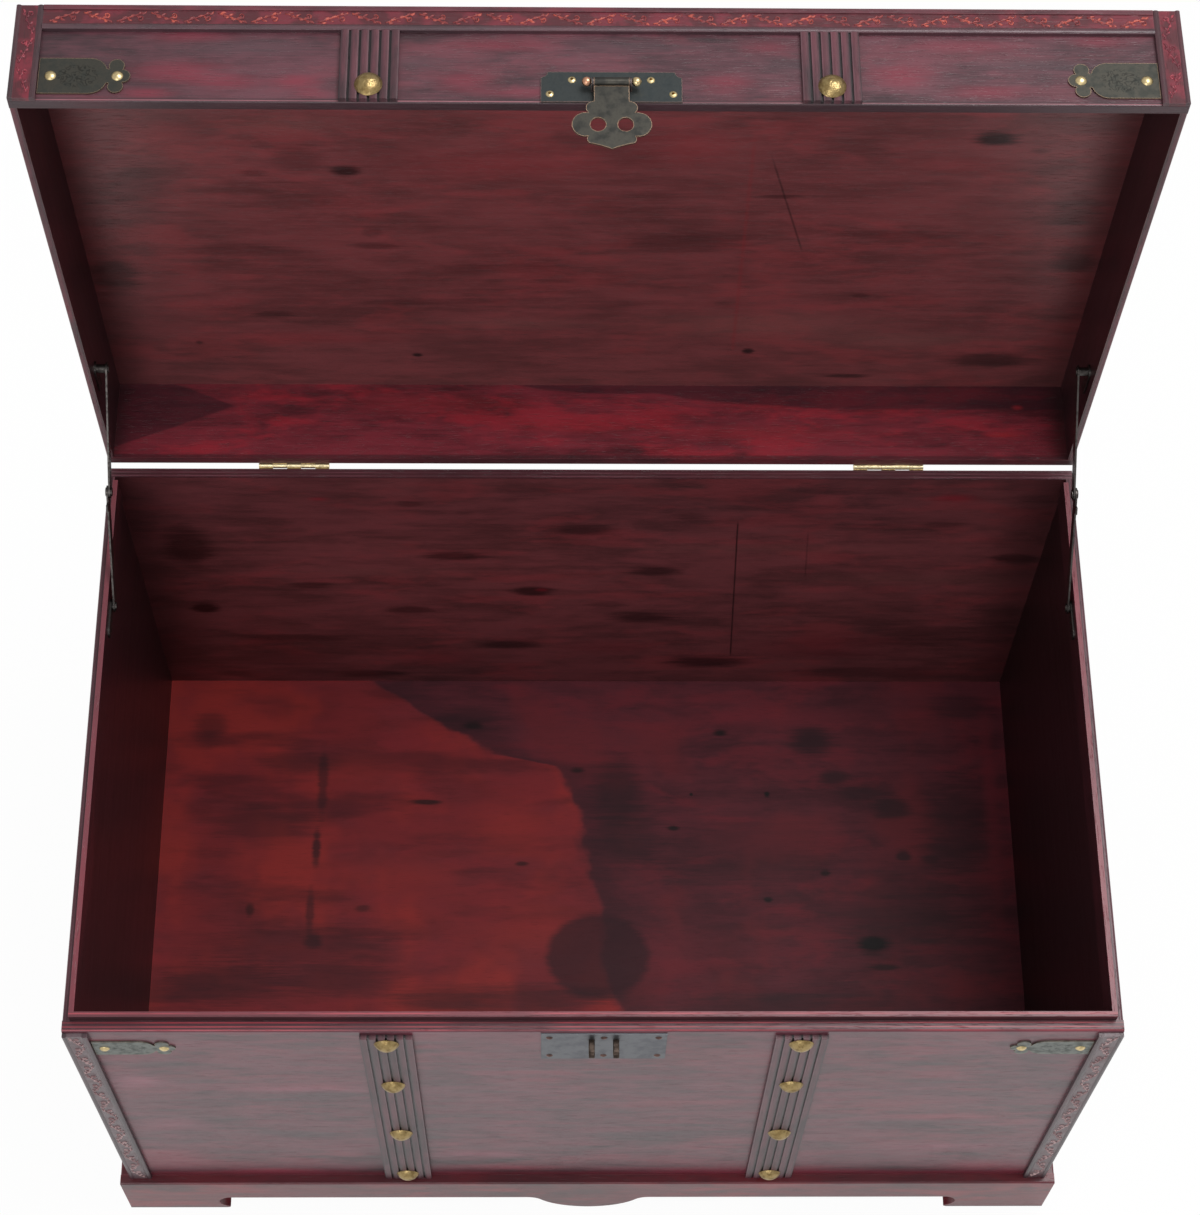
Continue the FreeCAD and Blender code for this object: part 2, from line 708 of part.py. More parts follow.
def lower_arm():
    arm = link(LOWER_X, ARM_T, STAY_PIVOT, KNEE_OPEN, ARM_W,
               [(*STAY_PIVOT, RIVET_R + RUNNING), (*KNEE_OPEN, RIVET_R)])
    along = Vector(0, KNEE_OPEN[0] - STAY_PIVOT[0], KNEE_OPEN[1] - STAY_PIVOT[1]) / ARM_LEN
    corner = Vector(LOWER_X - ARM_T, *KNEE_OPEN) - along * ARM_W
    spur = turned(block(0, ARM_T, -SPUR, SPUR / 2, 0, ARM_W / 2 + SPUR), X_AXIS, along,
                  X_AXIS.cross(along), corner)
    return merged([arm, spur])


def upper_arm():
    return link(UPPER_X, ARM_T, LID_PIVOT_OPEN, KNEE_OPEN, ARM_W,
                [(*LID_PIVOT_OPEN, RIVET_R), (*KNEE_OPEN, RIVET_R + RUNNING)])


def knee_rivet():
    """Held by the lower arm; the upper arm turns on it between two heads."""
    outer_head = rod(RIVET_HEAD_R, Vector(LOWER_X, *KNEE_OPEN), X_AXIS, RIVET_HEAD_H)
    return merged([outer_head, rivet(UPPER_X - ARM_T - HEAD_GAP, LOWER_X, KNEE_OPEN)])


def lid_pivot_rivet():
    """Held by the upper arm; it ends just short of the lid bracket's boss."""
    return rivet(UPPER_X - ARM_T, UPPER_X, LID_PIVOT_OPEN)


def bracket_screw(x_face, point):
    return fastener(BRACKET_SCREW_R, BRACKET_SCREW_H, SCREW_SHANK_R, BRACKET_T + LIP_T,
                    Vector(x_face, *point), X_AXIS * -1)


def bracket_screw_tool(x_face, point):
    return shank_tool(SCREW_SHANK_R, BRACKET_T + LIP_T, Vector(x_face, *point), X_AXIS * -1)


def trunk_screw_places():
    return [(STAY_PIVOT[0] - reach, STAY_PIVOT[1]) for reach in BRACKET_SCREWS]


def lid_screw_places():
    return [(LID_PIVOT_SHUT[0] + reach, LID_PIVOT_SHUT[1]) for reach in BRACKET_SCREWS]


def trunk_bracket():
    far = (STAY_PIVOT[0] - BRACKET_REACH, STAY_PIVOT[1])
    holes = [(*STAY_PIVOT, RIVET_R)] + [(*point, SCREW_SHANK_R) for point in trunk_screw_places()]
    return link(LIP_X, BRACKET_T, STAY_PIVOT, far, BRACKET_H, holes)


def trunk_bracket_fasteners():
    """Two screws, and the rivet that the lower arm turns on."""
    face = LIP_X - BRACKET_T
    pins = [bracket_screw(face, point) for point in trunk_screw_places()]
    collar = rod(BOSS_R, Vector(face - ARM_OFF + HEAD_GAP, *STAY_PIVOT), X_AXIS, ARM_OFF - HEAD_GAP)
    pins.append(merged([collar, rivet(LOWER_X - ARM_T - HEAD_GAP, LIP_X, STAY_PIVOT)]))
    return pins


def trunk_screw_tools():
    return [bracket_screw_tool(LIP_X - BRACKET_T, point) for point in trunk_screw_places()]


def lid_inner_x():
    return HALF_W - SIDE_T + LID_CLEAR


def lid_bracket():
    """Bracket on the lid's end board, with a boss that reaches in to the upper arm."""
    face = lid_inner_x()
    far = (LID_PIVOT_SHUT[0] + BRACKET_REACH, LID_PIVOT_SHUT[1])
    sheet = link(face, BRACKET_T, LID_PIVOT_SHUT, far, BRACKET_H,
                 [(*point, SCREW_SHANK_R) for point in lid_screw_places()])
    boss_end = UPPER_X + ARM_GAP
    return merged([sheet, rod(BOSS_R, Vector(boss_end, *LID_PIVOT_SHUT), X_AXIS, face - boss_end)])


def lid_screw_tools():
    return [bracket_screw_tool(lid_inner_x() - BRACKET_T, point) for point in lid_screw_places()]


def lid_bracket_fasteners():
    return [bracket_screw(lid_inner_x() - BRACKET_T, point) for point in lid_screw_places()]


# --- lid, modelled shut ---

def lid_long_board(side):
    """Front board (-1), thinner so that it passes the dust lip, or back board (+1)."""
    thickness = LONG_T - LID_CLEAR if side < 0 else LONG_T
    outer = side * HALF_D
    inner = side * (HALF_D - thickness)
    board = block(-HALF_W, HALF_W, min(outer, inner), max(outer, inner), LID_Z, LID_Z + LID_WALL_H)
    return rounded_along(board, outer_round(side) / 2,
                         lambda p: abs(p.z - LID_Z) < 0.01 and abs(p.y - outer) < 0.01)


def lid_end_board():
    front = HALF_D - LONG_T + LID_CLEAR
    board = block(lid_inner_x(), HALF_W, -front, HALF_D - LONG_T, LID_Z, LID_Z + LID_WALL_H)
    return rounded_along(board, RIM_ROUND / 2,
                         lambda p: abs(p.z - LID_Z) < 0.01 and abs(p.x - HALF_W) < 0.01)


def lid_top_panel():
    low = LID_Z + LID_WALL_H
    panel = block(-HALF_W, HALF_W, -HALF_D, HALF_D, low, low + LID_TOP_T)
    return drilled(panel, [top_stud_tool(at) for at in top_stud_places()])


def vine_moulding():
    """Strip with a sunk ornament band and a bead below it, along the top of the lid's front."""
    top = LID_Z + LID_H - BORDER_T
    strip = plate(bead_profile(VINE_H, 0, BEAD_IN), Z_AXIS * (2 * POST_IN))
    return turned(strip, Z_AXIS * -1, Y_AXIS * -1, X_AXIS * -1, Vector(POST_IN, FACE_Y, top))


def border_front():
    low = LID_Z + LID_H - BORDER_T
    high = LID_Z + LID_H
    inner = STRIP_Y + BORDER_W
    return merged([block(-POST_IN, POST_IN, STRIP_Y, inner, low, high),
                   block(-HALF_W, HALF_W, FACE_Y, inner, low, high)])


def border_back():
    low = LID_Z + LID_H - BORDER_T
    return block(-HALF_W, HALF_W, HALF_D - BORDER_W, HALF_D, low, low + BORDER_T)


def border_side():
    low = LID_Z + LID_H - BORDER_T
    return block(HALF_W - BORDER_W, HALF_W, STRIP_Y + BORDER_W, HALF_D - BORDER_W, low, low + BORDER_T)


def top_strap(x_middle):
    front = STRIP_Y + BORDER_W
    length = HALF_D - BORDER_W - front
    strip = plate(reeded_profile(STRAP_W, BORDER_T), Z_AXIS * length)
    low = LID_Z + LID_H - BORDER_T
    laid = turned(strip, X_AXIS, Z_AXIS, Y_AXIS * -1, Vector(x_middle - STRAP_W / 2, front + length, low))
    return drilled(laid, [top_stud_tool(at) for at in top_stud_places()])


def eyelet_places():
    y = FACE_Y - HASP_T
    return [Vector(HASP_X + side * dx, y, LID_Z + up) for side in (-1, 1) for dx, up in EYELETS]


def eyelet(at):
    """Hollow brass rivet with a round collar."""
    whole = merged([dome_head(EYELET_R, EYELET_H), rod(EYELET_SHANK_R, Vector(0, 0, -NAIL_SHANK), Z_AXIS,
                                                       NAIL_SHANK)])
    whole = drilled(whole, [rod(EYELET_BORE_R, Vector(0, 0, -EYELET_BORE), Z_AXIS, EYELET_BORE + EYELET_H)])
    whole.Placement = FreeCAD.Placement(at, FreeCAD.Rotation(Z_AXIS, FRONT))
    return whole


def eyelet_tools():
    return [shank_tool(EYELET_SHANK_R, NAIL_SHANK, at, FRONT) for at in eyelet_places()]


def hasp_plate():
    low = LID_Z + HASP_UP
    sheet = block(HASP_X - HASP_W / 2, HASP_X + HASP_W / 2, FACE_Y - HASP_T, FACE_Y, low, low + HASP_H)
    notches = [rod(HASP_NOTCH_R, Vector(HASP_X + side * HASP_W / 2, FACE_Y, low + HASP_H), FRONT, HASP_T)
               for side in (-1, 1)]
    lugs = []
    for side in (-1, 1):
        x0 = HASP_X + side * (HASP_CURL_W / 2 + HASP_KNUCKLE_GAP + HASP_LUG_W / 2) - HASP_LUG_W / 2
        lugs.append(rod(HASP_KNUCKLE_R, Vector(x0, HASP_AXIS_Y, HASP_AXIS_Z), X_AXIS, HASP_LUG_W))
        lugs.append(block(x0, x0 + HASP_LUG_W, HASP_AXIS_Y, FACE_Y - HASP_T / 2,
                          HASP_AXIS_Z - HASP_KNUCKLE_R, HASP_AXIS_Z + HASP_KNUCKLE_R))
    bore = rod(HASP_PIN_R + RUNNING, Vector(HASP_X - BALL_DX, HASP_AXIS_Y, HASP_AXIS_Z), X_AXIS, 2 * BALL_DX)
    return drilled(merged([sheet.cut(group(notches))] + lugs), [bore] + eyelet_tools())


def hasp_pin():
    """Pin with a ball at each end, turned in one piece."""
    meet = BALL_DX - math.sqrt(BALL_R ** 2 - HASP_PIN_R ** 2)
    end = BALL_DX + BALL_R

    def at(across, out):
        return Vector(HASP_X + across, HASP_AXIS_Y, HASP_AXIS_Z + out)

    outline = [arc(at(-end, 0), at(-BALL_DX, BALL_R), at(-meet, HASP_PIN_R)),
               *polyline([at(-meet, HASP_PIN_R), at(meet, HASP_PIN_R)]),
               arc(at(meet, HASP_PIN_R), at(BALL_DX, BALL_R), at(end, 0)),
               *polyline([at(end, 0), at(-end, 0)])]
    return Part.Face(Part.Wire(outline)).revolve(at(0, 0), X_AXIS, 360)


def flap_droop():
    """Degrees that the flap leans past the lid's front, so that its tip just clears the catch plate when
    the lid is shut."""
    room = HASP_STAND + HASP_T - PLATE_T - FLAP_REST_GAP
    return math.degrees(math.asin(room / math.hypot(FLAP_LEN, FLAP_BACK)) - math.atan2(FLAP_BACK, FLAP_LEN))


def hasp_flap():
    """Lobed flap that droops from the pin, with two holes for the staples."""
    back = HASP_AXIS_Y + FLAP_BACK

    def at(across, down):
        return Vector(HASP_X + across, back, HASP_AXIS_Z - down)

    def disc(across, down, radius):
        return rod(radius, at(across, down), FRONT, FLAP_T)

    neck = HASP_CURL_W / 2
    toe_down = FLAP_LEN - FLAP_TOE_UP
    toe_edge = toe_down + FLAP_TOE_R
    body = polyline([at(-neck, 0), at(neck, 0), at(neck, FLAP_EAR_DOWN), at(FLAP_LOBE_DX, FLAP_HOLE_DOWN),
                     at(FLAP_TOE_DX, toe_down), at(FLAP_TOE_DX, toe_edge)])
    middle = (toe_edge + FLAP_LEN) / 2 - TIP_DIP
    body.append(arc(at(FLAP_TOE_DX, toe_edge), at(FLAP_TOE_DX / 2, middle), at(0, FLAP_LEN)))
    body.append(arc(at(0, FLAP_LEN), at(-FLAP_TOE_DX / 2, middle), at(-FLAP_TOE_DX, toe_edge)))
    body += polyline([at(-FLAP_TOE_DX, toe_edge), at(-FLAP_TOE_DX, toe_down),
                      at(-FLAP_LOBE_DX, FLAP_HOLE_DOWN), at(-neck, FLAP_EAR_DOWN), at(-neck, 0)])
    parts = [plate(body, FRONT * FLAP_T)]
    for side in (-1, 1):
        parts.append(disc(side * FLAP_EAR_DX, FLAP_EAR_DOWN, FLAP_EAR_R))
        parts.append(disc(side * FLAP_LOBE_DX, FLAP_HOLE_DOWN, FLAP_LOBE_R))
        parts.append(disc(side * FLAP_TOE_DX, toe_down, FLAP_TOE_R))
    start = Vector(HASP_X - HASP_CURL_W / 2, HASP_AXIS_Y, HASP_AXIS_Z)
    parts.append(rod(HASP_KNUCKLE_R, start, X_AXIS, HASP_CURL_W))
    holes = [disc(side * STAPLE_SPACING / 2, FLAP_HOLE_DOWN, FLAP_HOLE_R) for side in (-1, 1)]
    bore = rod(HASP_PIN_R + RUNNING, start, X_AXIS, HASP_CURL_W)
    flap = drilled(merged(parts), holes + [bore])
    flap.rotate(Vector(HASP_X, HASP_AXIS_Y, HASP_AXIS_Z), X_AXIS, flap_droop())
    return flap


# --- the nodes ---

def trunk_nodes():
    stud_tools = [stud_tool(at, FRONT) for at in body_stud_places()]
    plate_z = RIM_Z - BODY_PLATE_DOWN
    nail_tools = []
    for tool in plate_nail_tools(plate_z):
        nail_tools += both_sides(tool)
    strap_top = RIM_Z - STRAP_TOP_GAP
    post_top = RIM_Z - POST_TOP_GAP
    side_lip = drilled(lip_side(), trunk_screw_tools())
    right_wall = drilled(side_panel(), trunk_screw_tools())
    bracket = trunk_bracket()
    pins = trunk_bracket_fasteners()
    return {
        "floor_panel": floor_panel(),
        "front_panel": drilled(long_panel(-1), stud_tools + nail_tools + catch_nail_tools()
                               + staple_tools()),
        "back_panel": drilled(long_panel(1), hinge_screw_tools(-1)),
        "left_panel": mirrored(right_wall),
        "right_panel": right_wall,
        "plinth_front": plinth_front(),
        "plinth_back": plinth_back(),
        "plinth_left": mirrored(plinth_side()),
        "plinth_right": plinth_side(),
        "foot_blocks": foot_blocks(),
        "floor_cleats": floor_cleats(),
        "dust_lip_front": lip_front(),
        "dust_lip_left": mirrored(side_lip),
        "dust_lip_right": side_lip,
        "front_post_left": mirrored(front_post(PLINTH_H, post_top)),
        "front_post_right": front_post(PLINTH_H, post_top),
        "front_strap_left": drilled(front_strap(-STRAP_X, PLINTH_H, strap_top), stud_tools),
        "front_strap_right": drilled(front_strap(STRAP_X, PLINTH_H, strap_top), stud_tools),
        "body_studs": group([stud(at, FRONT) for at in body_stud_places()]),
        "body_corner_plates": group(both_sides(corner_plate(plate_z))),
        "body_plate_nails": plate_nails(plate_z),
        "catch_plate": catch_plate(),
        "catch_staples": catch_staples(),
        "catch_nails": catch_nails(),
        "hinge_lower_leaves": hinge_leaves(-1, HINGE_PIN_R),
        "hinge_pins": hinge_pins(),
        "hinge_lower_screws": hinge_screws(-1),
        "stay_trunk_bracket_left": mirrored(bracket),
        "stay_trunk_bracket_right": bracket,
        "stay_trunk_fasteners": group(pins + [mirrored(pin) for pin in pins]),
    }


def lid_nodes():
    stud_tools = [stud_tool(at, FRONT) for at in lid_stud_places()]
    plate_z = LID_Z + LID_PLATE_UP
    nail_tools = []
    for tool in plate_nail_tools(plate_z):
        nail_tools += both_sides(tool)
    strap_foot = LID_Z + LID_STRAP_FOOT
    strap_top = LID_Z + LID_H - BORDER_T - VINE_H
    post = front_post(LID_Z, LID_Z + LID_H)
    wall = drilled(lid_end_board(), lid_screw_tools())
    bracket = lid_bracket()
    pins = lid_bracket_fasteners()
    studs = [stud(at, FRONT) for at in lid_stud_places()] + [top_stud(at) for at in top_stud_places()]
    return {
        "lid_top_panel": lid_top_panel(),
        "lid_front_board": drilled(lid_long_board(-1), stud_tools + nail_tools + eyelet_tools()),
        "lid_back_board": drilled(lid_long_board(1), hinge_screw_tools(1)),
        "lid_left_board": mirrored(wall),
        "lid_right_board": wall,
        "lid_vine_moulding": vine_moulding(),
        "lid_post_left": mirrored(post),
        "lid_post_right": post,
        "lid_strap_left": drilled(front_strap(-STRAP_X, strap_foot, strap_top), stud_tools),
        "lid_strap_right": drilled(front_strap(STRAP_X, strap_foot, strap_top), stud_tools),
        "lid_top_border_front": border_front(),
        "lid_top_border_back": border_back(),
        "lid_top_border_sides": group(both_sides(border_side())),
        "lid_top_straps": group([top_strap(-STRAP_X), top_strap(STRAP_X)]),
        "lid_studs": group(studs),
        "lid_corner_plates": group(both_sides(corner_plate(plate_z))),
        "lid_plate_nails": plate_nails(plate_z),
        "hasp_plate": hasp_plate(),
        "hasp_pin": hasp_pin(),
        "hasp_eyelets": group([eyelet(at) for at in eyelet_places()]),
        "hasp_flap": hasp_flap(),
        "hinge_upper_leaves": hinge_leaves(1, HINGE_PIN_R + RUNNING),
        "hinge_upper_screws": hinge_screws(1),
        "stay_lid_bracket_left": mirrored(bracket),
        "stay_lid_bracket_right": bracket,
        "stay_lid_fasteners": group(pins + [mirrored(pin) for pin in pins]),
    }


def stay_nodes():
    lower = lower_arm()
    upper = upper_arm()
    knee = knee_rivet()
    pivot = lid_pivot_rivet()
    return {
        "stay_lower_arm_left": group([mirrored(lower), mirrored(knee)]),
        "stay_lower_arm_right": group([lower, knee]),
        "stay_upper_arm_left": group([mirrored(upper), mirrored(pivot)]),
        "stay_upper_arm_right": group([upper, pivot]),
    }


def opened(shape):
    """A lid piece swung to the open position."""
    swung = shape.copy()
    swung.rotate(Vector(0, HINGE_Y, HINGE_Z), X_AXIS, -LID_OPEN_ANGLE)
    return swung


def export_nodes(nodes):
    os.makedirs("parts", exist_ok=True)
    for name, shape in nodes.items():
        placed = shape.copy()
        placed.translate(Vector(0, -ORIGIN_Y, 0))
        placed.exportStep("parts/" + name + ".step")


export_nodes(trunk_nodes())
export_nodes({name: opened(shape) for name, shape in lid_nodes().items()})
export_nodes(stay_nodes())
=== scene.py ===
import math

import bmesh
import bpy
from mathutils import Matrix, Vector
from bpy.props import FloatProperty, FloatVectorProperty, PointerProperty


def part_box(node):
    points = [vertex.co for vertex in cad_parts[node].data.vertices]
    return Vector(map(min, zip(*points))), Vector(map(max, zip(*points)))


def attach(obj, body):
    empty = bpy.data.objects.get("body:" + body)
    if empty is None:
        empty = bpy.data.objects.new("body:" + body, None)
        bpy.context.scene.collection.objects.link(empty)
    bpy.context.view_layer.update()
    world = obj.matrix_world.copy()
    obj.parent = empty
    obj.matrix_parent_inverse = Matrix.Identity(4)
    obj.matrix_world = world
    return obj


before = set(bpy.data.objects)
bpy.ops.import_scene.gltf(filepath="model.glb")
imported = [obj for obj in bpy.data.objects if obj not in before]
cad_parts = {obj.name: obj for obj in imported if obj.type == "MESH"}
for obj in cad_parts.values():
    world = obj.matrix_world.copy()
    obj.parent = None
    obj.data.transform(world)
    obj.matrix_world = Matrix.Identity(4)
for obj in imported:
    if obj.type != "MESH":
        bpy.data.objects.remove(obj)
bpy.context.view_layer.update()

bl_info = {
    "name": "Storage trunk dresser",
    "version": (1, 0, 0),
    "blender": (4, 5, 0),
    "location": "3D View > Sidebar > Trunk",
    "description": "Stains, carves and fits out a hinged wooden storage trunk",
    "category": "Object",
}

MM = 0.001

EYE_PLACE = (-0.026129, -0.838275, 2.180921)
EYE_TURN = (0.4724344666, -0.0149170296, -0.0055695115)
LAMP_AIM = (0, 0, 0.4)

STRAP_X = 0.1375          # middle of a reeded strap
STRAP_W = 0.035
REEDS = 6
GROOVE_W = 0.0013
BAND_INNER = 0.3368       # sunk band of a post, between its two beads
BAND_OUTER = 0.3473
BAND_SUNK = 0.0007
BAND_EDGE = 0.0005        # soft border of the band's colour
BEAD_W = 0.0036           # plain bead along the moulding's lower edge
SCROLL_GAP = 0.002        # scrollwork stops short of the ends of its band
POST_SCROLL_W = 0.0098
MOULDING_SCROLL_W = 0.0100
BALL_W = 0.0056           # ball at each end of the hasp's pin
PLATE_X = 310             # engraved field of a corner plate: its middle and half its size, in millimetres
FIELD = (13, 9)


def display(red, green, blue):
    """Linear colour from display values of 0 to 255."""
    def one(value):
        value = value / 255
        return value / 12.92 if value < 0.04 else ((value + 0.055) / 1.055) ** 2.4
    return (one(red), one(green), one(blue))


# ---------------------------------------------------------------- settings

class TRUNK_PG_stage(bpy.types.PropertyGroup):
    """Camera, floor and lamps."""
    lens: FloatProperty(name="Lens", description="Focal length of the camera in millimetres",
                        default=83.29, min=20, max=300)
    sky: FloatProperty(name="Sky", description="Strength of the even light from all round",
                       default=0.62, min=0, max=3)
    key_power: FloatProperty(name="Key lamp", description="Power of the large lamp above and behind",
                             default=44, min=0, max=500, unit="POWER")
    fill_power: FloatProperty(name="Fill lamp", description="Power of the large lamp in front",
                              default=22, min=0, max=500, unit="POWER")
    floor_colour: FloatVectorProperty(name="Floor", description="Colour of the floor", subtype="COLOR",
                                      default=(0.86, 0.86, 0.86), min=0, max=1)


class TRUNK_PG_stain(bpy.types.PropertyGroup):
    """Colours of the cherry stain, from its darkest streaks to its brightest red."""
    dark: FloatVectorProperty(name="Dark streaks", description="Stain where it pooled in the grain",
                              subtype="COLOR", default=display(52, 24, 29), min=0, max=1)
    middle: FloatVectorProperty(name="Stain", description="Main colour of the stained boards",
                                subtype="COLOR", default=display(98, 44, 52), min=0, max=1)
    red: FloatVectorProperty(name="Red flare", description="Stain where it is thin and red",
                             subtype="COLOR", default=display(134, 40, 50), min=0, max=1)
    worn: FloatVectorProperty(name="Worn edge", description="Rubbed edges of the boards",
                              subtype="COLOR", default=display(150, 84, 86), min=0, max=1)
    # Knots, pores and cracks, and also painted shade on inner faces, in inner corners and at the ends of the
    # lid's back board
    dark_marks_and_shade: FloatVectorProperty(name="Knots", description="Knots and dark pockets",
                              subtype="COLOR", default=display(26, 14, 15), min=0, max=1)
    gloss: FloatProperty(name="Roughness", description="Roughness of the lacquer", default=0.36,
                         min=0.05, max=1, subtype="FACTOR")


class TRUNK_PG_metal(bpy.types.PropertyGroup):
    """Colours of the fittings."""
    gold: FloatVectorProperty(name="Studs", description="Dome studs", subtype="COLOR",
                              default=display(164, 142, 98), min=0, max=1)
    brass: FloatVectorProperty(name="Brass", description="Small nails and hinges", subtype="COLOR",
                               default=display(222, 200, 152), min=0, max=1)
    bronze: FloatVectorProperty(name="Corner plates", description="Dark corner plates of the lid",
                                subtype="COLOR", default=display(80, 78, 72), min=0, max=1)
    grey: FloatVectorProperty(name="Body plates", description="Corner plates of the box",
                              subtype="COLOR", default=display(120, 124, 119), min=0, max=1)
    hasp: FloatVectorProperty(name="Hasp", description="Plate of the hasp", subtype="COLOR",
                              default=display(70, 74, 74), min=0, max=1)
    flap: FloatVectorProperty(name="Flap", description="Flap of the hasp", subtype="COLOR",
                              default=display(74, 72, 67), min=0, max=1)
    # rubbed metal along the plate edges, which also stands in for the highlight there
    rim: FloatVectorProperty(name="Rubbed rim", description="Rubbed rims of the plates",
                             subtype="COLOR", default=display(206, 170, 140), min=0, max=1)
    pewter: FloatVectorProperty(name="Catch plate", description="Catch plate on the box",
                                subtype="COLOR", default=display(104, 106, 110), min=0, max=1)
    steel: FloatVectorProperty(name="Stays", description="Folding stays", subtype="COLOR",
                               default=display(84, 80, 78), min=0, max=1)


class TRUNK_PG_vine(bpy.types.PropertyGroup):
    """Scrollwork in the bands of the posts and the lid moulding."""
    pitch: FloatProperty(name="Pitch", description="Length of one scroll", default=0.0200, min=0.005,
                         max=0.1, unit="LENGTH")
    rise: FloatProperty(name="Rise", description="Height of the scrollwork over its band",
                        default=0.00062, min=0.0001, max=0.002, unit="LENGTH")
    stem: FloatProperty(name="Stem", description="Width of a stem", default=0.0011, min=0.0002,
                        max=0.005, unit="LENGTH")
    ground: FloatVectorProperty(name="Ground", description="Sunk band behind the scrolls",
                                subtype="COLOR", default=display(74, 26, 34), min=0, max=1)
    light: FloatVectorProperty(name="Highlights", description="Rubbed tops of the scrolls",
                               subtype="COLOR", default=display(172, 76, 62), min=0, max=1)


# ---------------------------------------------------------------- shaders

class Value:
    """A shader socket that takes part in arithmetic."""

    def __init__(self, shader, socket):
        self.shader = shader
        self.socket = socket

    def maths(self, operation, first, second=0.0):
        return self.shader.add("ShaderNodeMath", {"operation": operation}, {0: first, 1: second})

    def __add__(self, other):
        return self.maths("ADD", self, other)

    def __radd__(self, other):
        return self.maths("ADD", other, self)

    def __sub__(self, other):
        return self.maths("SUBTRACT", self, other)

    def __rsub__(self, other):
        return self.maths("SUBTRACT", other, self)

    def __mul__(self, other):
        return self.maths("MULTIPLY", self, other)

    def __rmul__(self, other):
        return self.maths("MULTIPLY", other, self)

    def __truediv__(self, other):
        return self.maths("DIVIDE", self, other)

    def __pow__(self, other):
        return self.maths("POWER", self, other)

    def __mod__(self, other):
        return self.maths("FLOORED_MODULO", self, other)

    def __abs__(self):
        return self.maths("ABSOLUTE", self)

    def __or__(self, other):
        return self.maths("MAXIMUM", self, other)

    def ramp(self, low, high):
        """0 below low, 1 above high and smooth between; high may be the lower one."""
        flip = high < low
        ends = {"From Min": min(low, high), "From Max": max(low, high),
                "To Min": 1.0 if flip else 0.0, "To Max": 0.0 if flip else 1.0}
        return self.shader.add("ShaderNodeMapRange", {"interpolation_type": "SMOOTHSTEP"},
                               {"Value": self, **ends})

    def near(self, centre, width):
        """1 at the centre, 0 a width away."""
        return abs(self - centre).ramp(width, 0.0)


class Shader:
    """One material, built from nodes."""

    def __init__(self, name):
        self.material = bpy.data.materials.new(name)
        self.material.use_nodes = True
        self.tree = self.material.node_tree
        self.tree.nodes.clear()
        self.place = self.add("ShaderNodeTexCoord", {}, {}, "Object")
        self.x, self.y, self.z = [self.add("ShaderNodeSeparateXYZ", {}, {"Vector": self.place}, axis)
                                  for axis in "XYZ"]

    def add(self, kind, settings, values, output=0):
        """New node; settings first, then the values or links of its sockets."""
        node = self.tree.nodes.new(kind)
        for key, value in settings.items():
            setattr(node, key, value)
        for key, value in values.items():
            if isinstance(value, Value):
                self.tree.links.new(value.socket, node.inputs[key])
            else:
                node.inputs[key].default_value = value
        return Value(self, node.outputs[output])

    def stretched(self, along, length, across):
        """Place with a pattern drawn out along one axis (0, 1 or 2)."""
        factors = [across] * 3
        factors[along] = length
        return self.add("ShaderNodeVectorMath", {"operation": "MULTIPLY"}, {0: self.place, 1: factors})

    def noise(self, where, scale=1.0, detail=3.0, roughness=0.55, distortion=0.0):
        return self.add("ShaderNodeTexNoise", {}, {"Vector": where, "Scale": scale, "Detail": detail,
                                                   "Roughness": roughness, "Distortion": distortion})

    def cloud(self, scale, low, high, detail=3.0):
        """Blotches of even size, 0 outside and 1 inside."""
        return self.noise(self.place, scale, detail).ramp(low, high)

    def blend(self, factor, first, second):
        colours = [value if isinstance(value, Value) else (*value[:3], 1.0) for value in (first, second)]
        return self.add("ShaderNodeMix", {"data_type": "RGBA"}, {0: factor, 6: colours[0], 7: colours[1]}, 2)

    def arris(self, radius):
        """1 on the edges of the piece and 0 on its faces."""
        soft = self.add("ShaderNodeBevel", {"samples": 2}, {"Radius": radius})
        plain = self.add("ShaderNodeNewGeometry", {}, {}, "Normal")
        along = self.add("ShaderNodeVectorMath", {"operation": "DOT_PRODUCT"}, {0: soft, 1: plain}, "Value")
        return (1.0 - along).ramp(0.008, 0.09)

    def paint(self, mask, colour):
        """Lay a colour over what is there."""
        self.colour = self.blend(mask, self.colour, colour)

    def oval(self, across, up, centre, size):
        """Squared distance from an oval's centre, 1 on its border; centre and size in millimetres."""
        return ((across - centre[0] * MM) / (size[0] * MM)) ** 2.0 \
            + ((up - centre[1] * MM) / (size[1] * MM)) ** 2.0

    def bump(self, height, distance):
        return self.add("ShaderNodeBump", {}, {"Height": height, "Distance": distance})

    def surface(self, roughness, normal, **constants):
        """Principled surface in the painted colour; keywords are its other sockets."""
        values = {"Base Color": self.colour, "Roughness": roughness, "Normal": normal}
        values.update({key.replace("_", " "): value for key, value in constants.items()})
        return self.close(self.add("ShaderNodeBsdfPrincipled", {}, values))

    def close(self, result):
        end = self.tree.nodes.new("ShaderNodeOutputMaterial")
        self.tree.links.new(result.socket, end.inputs["Surface"])
        return self.material


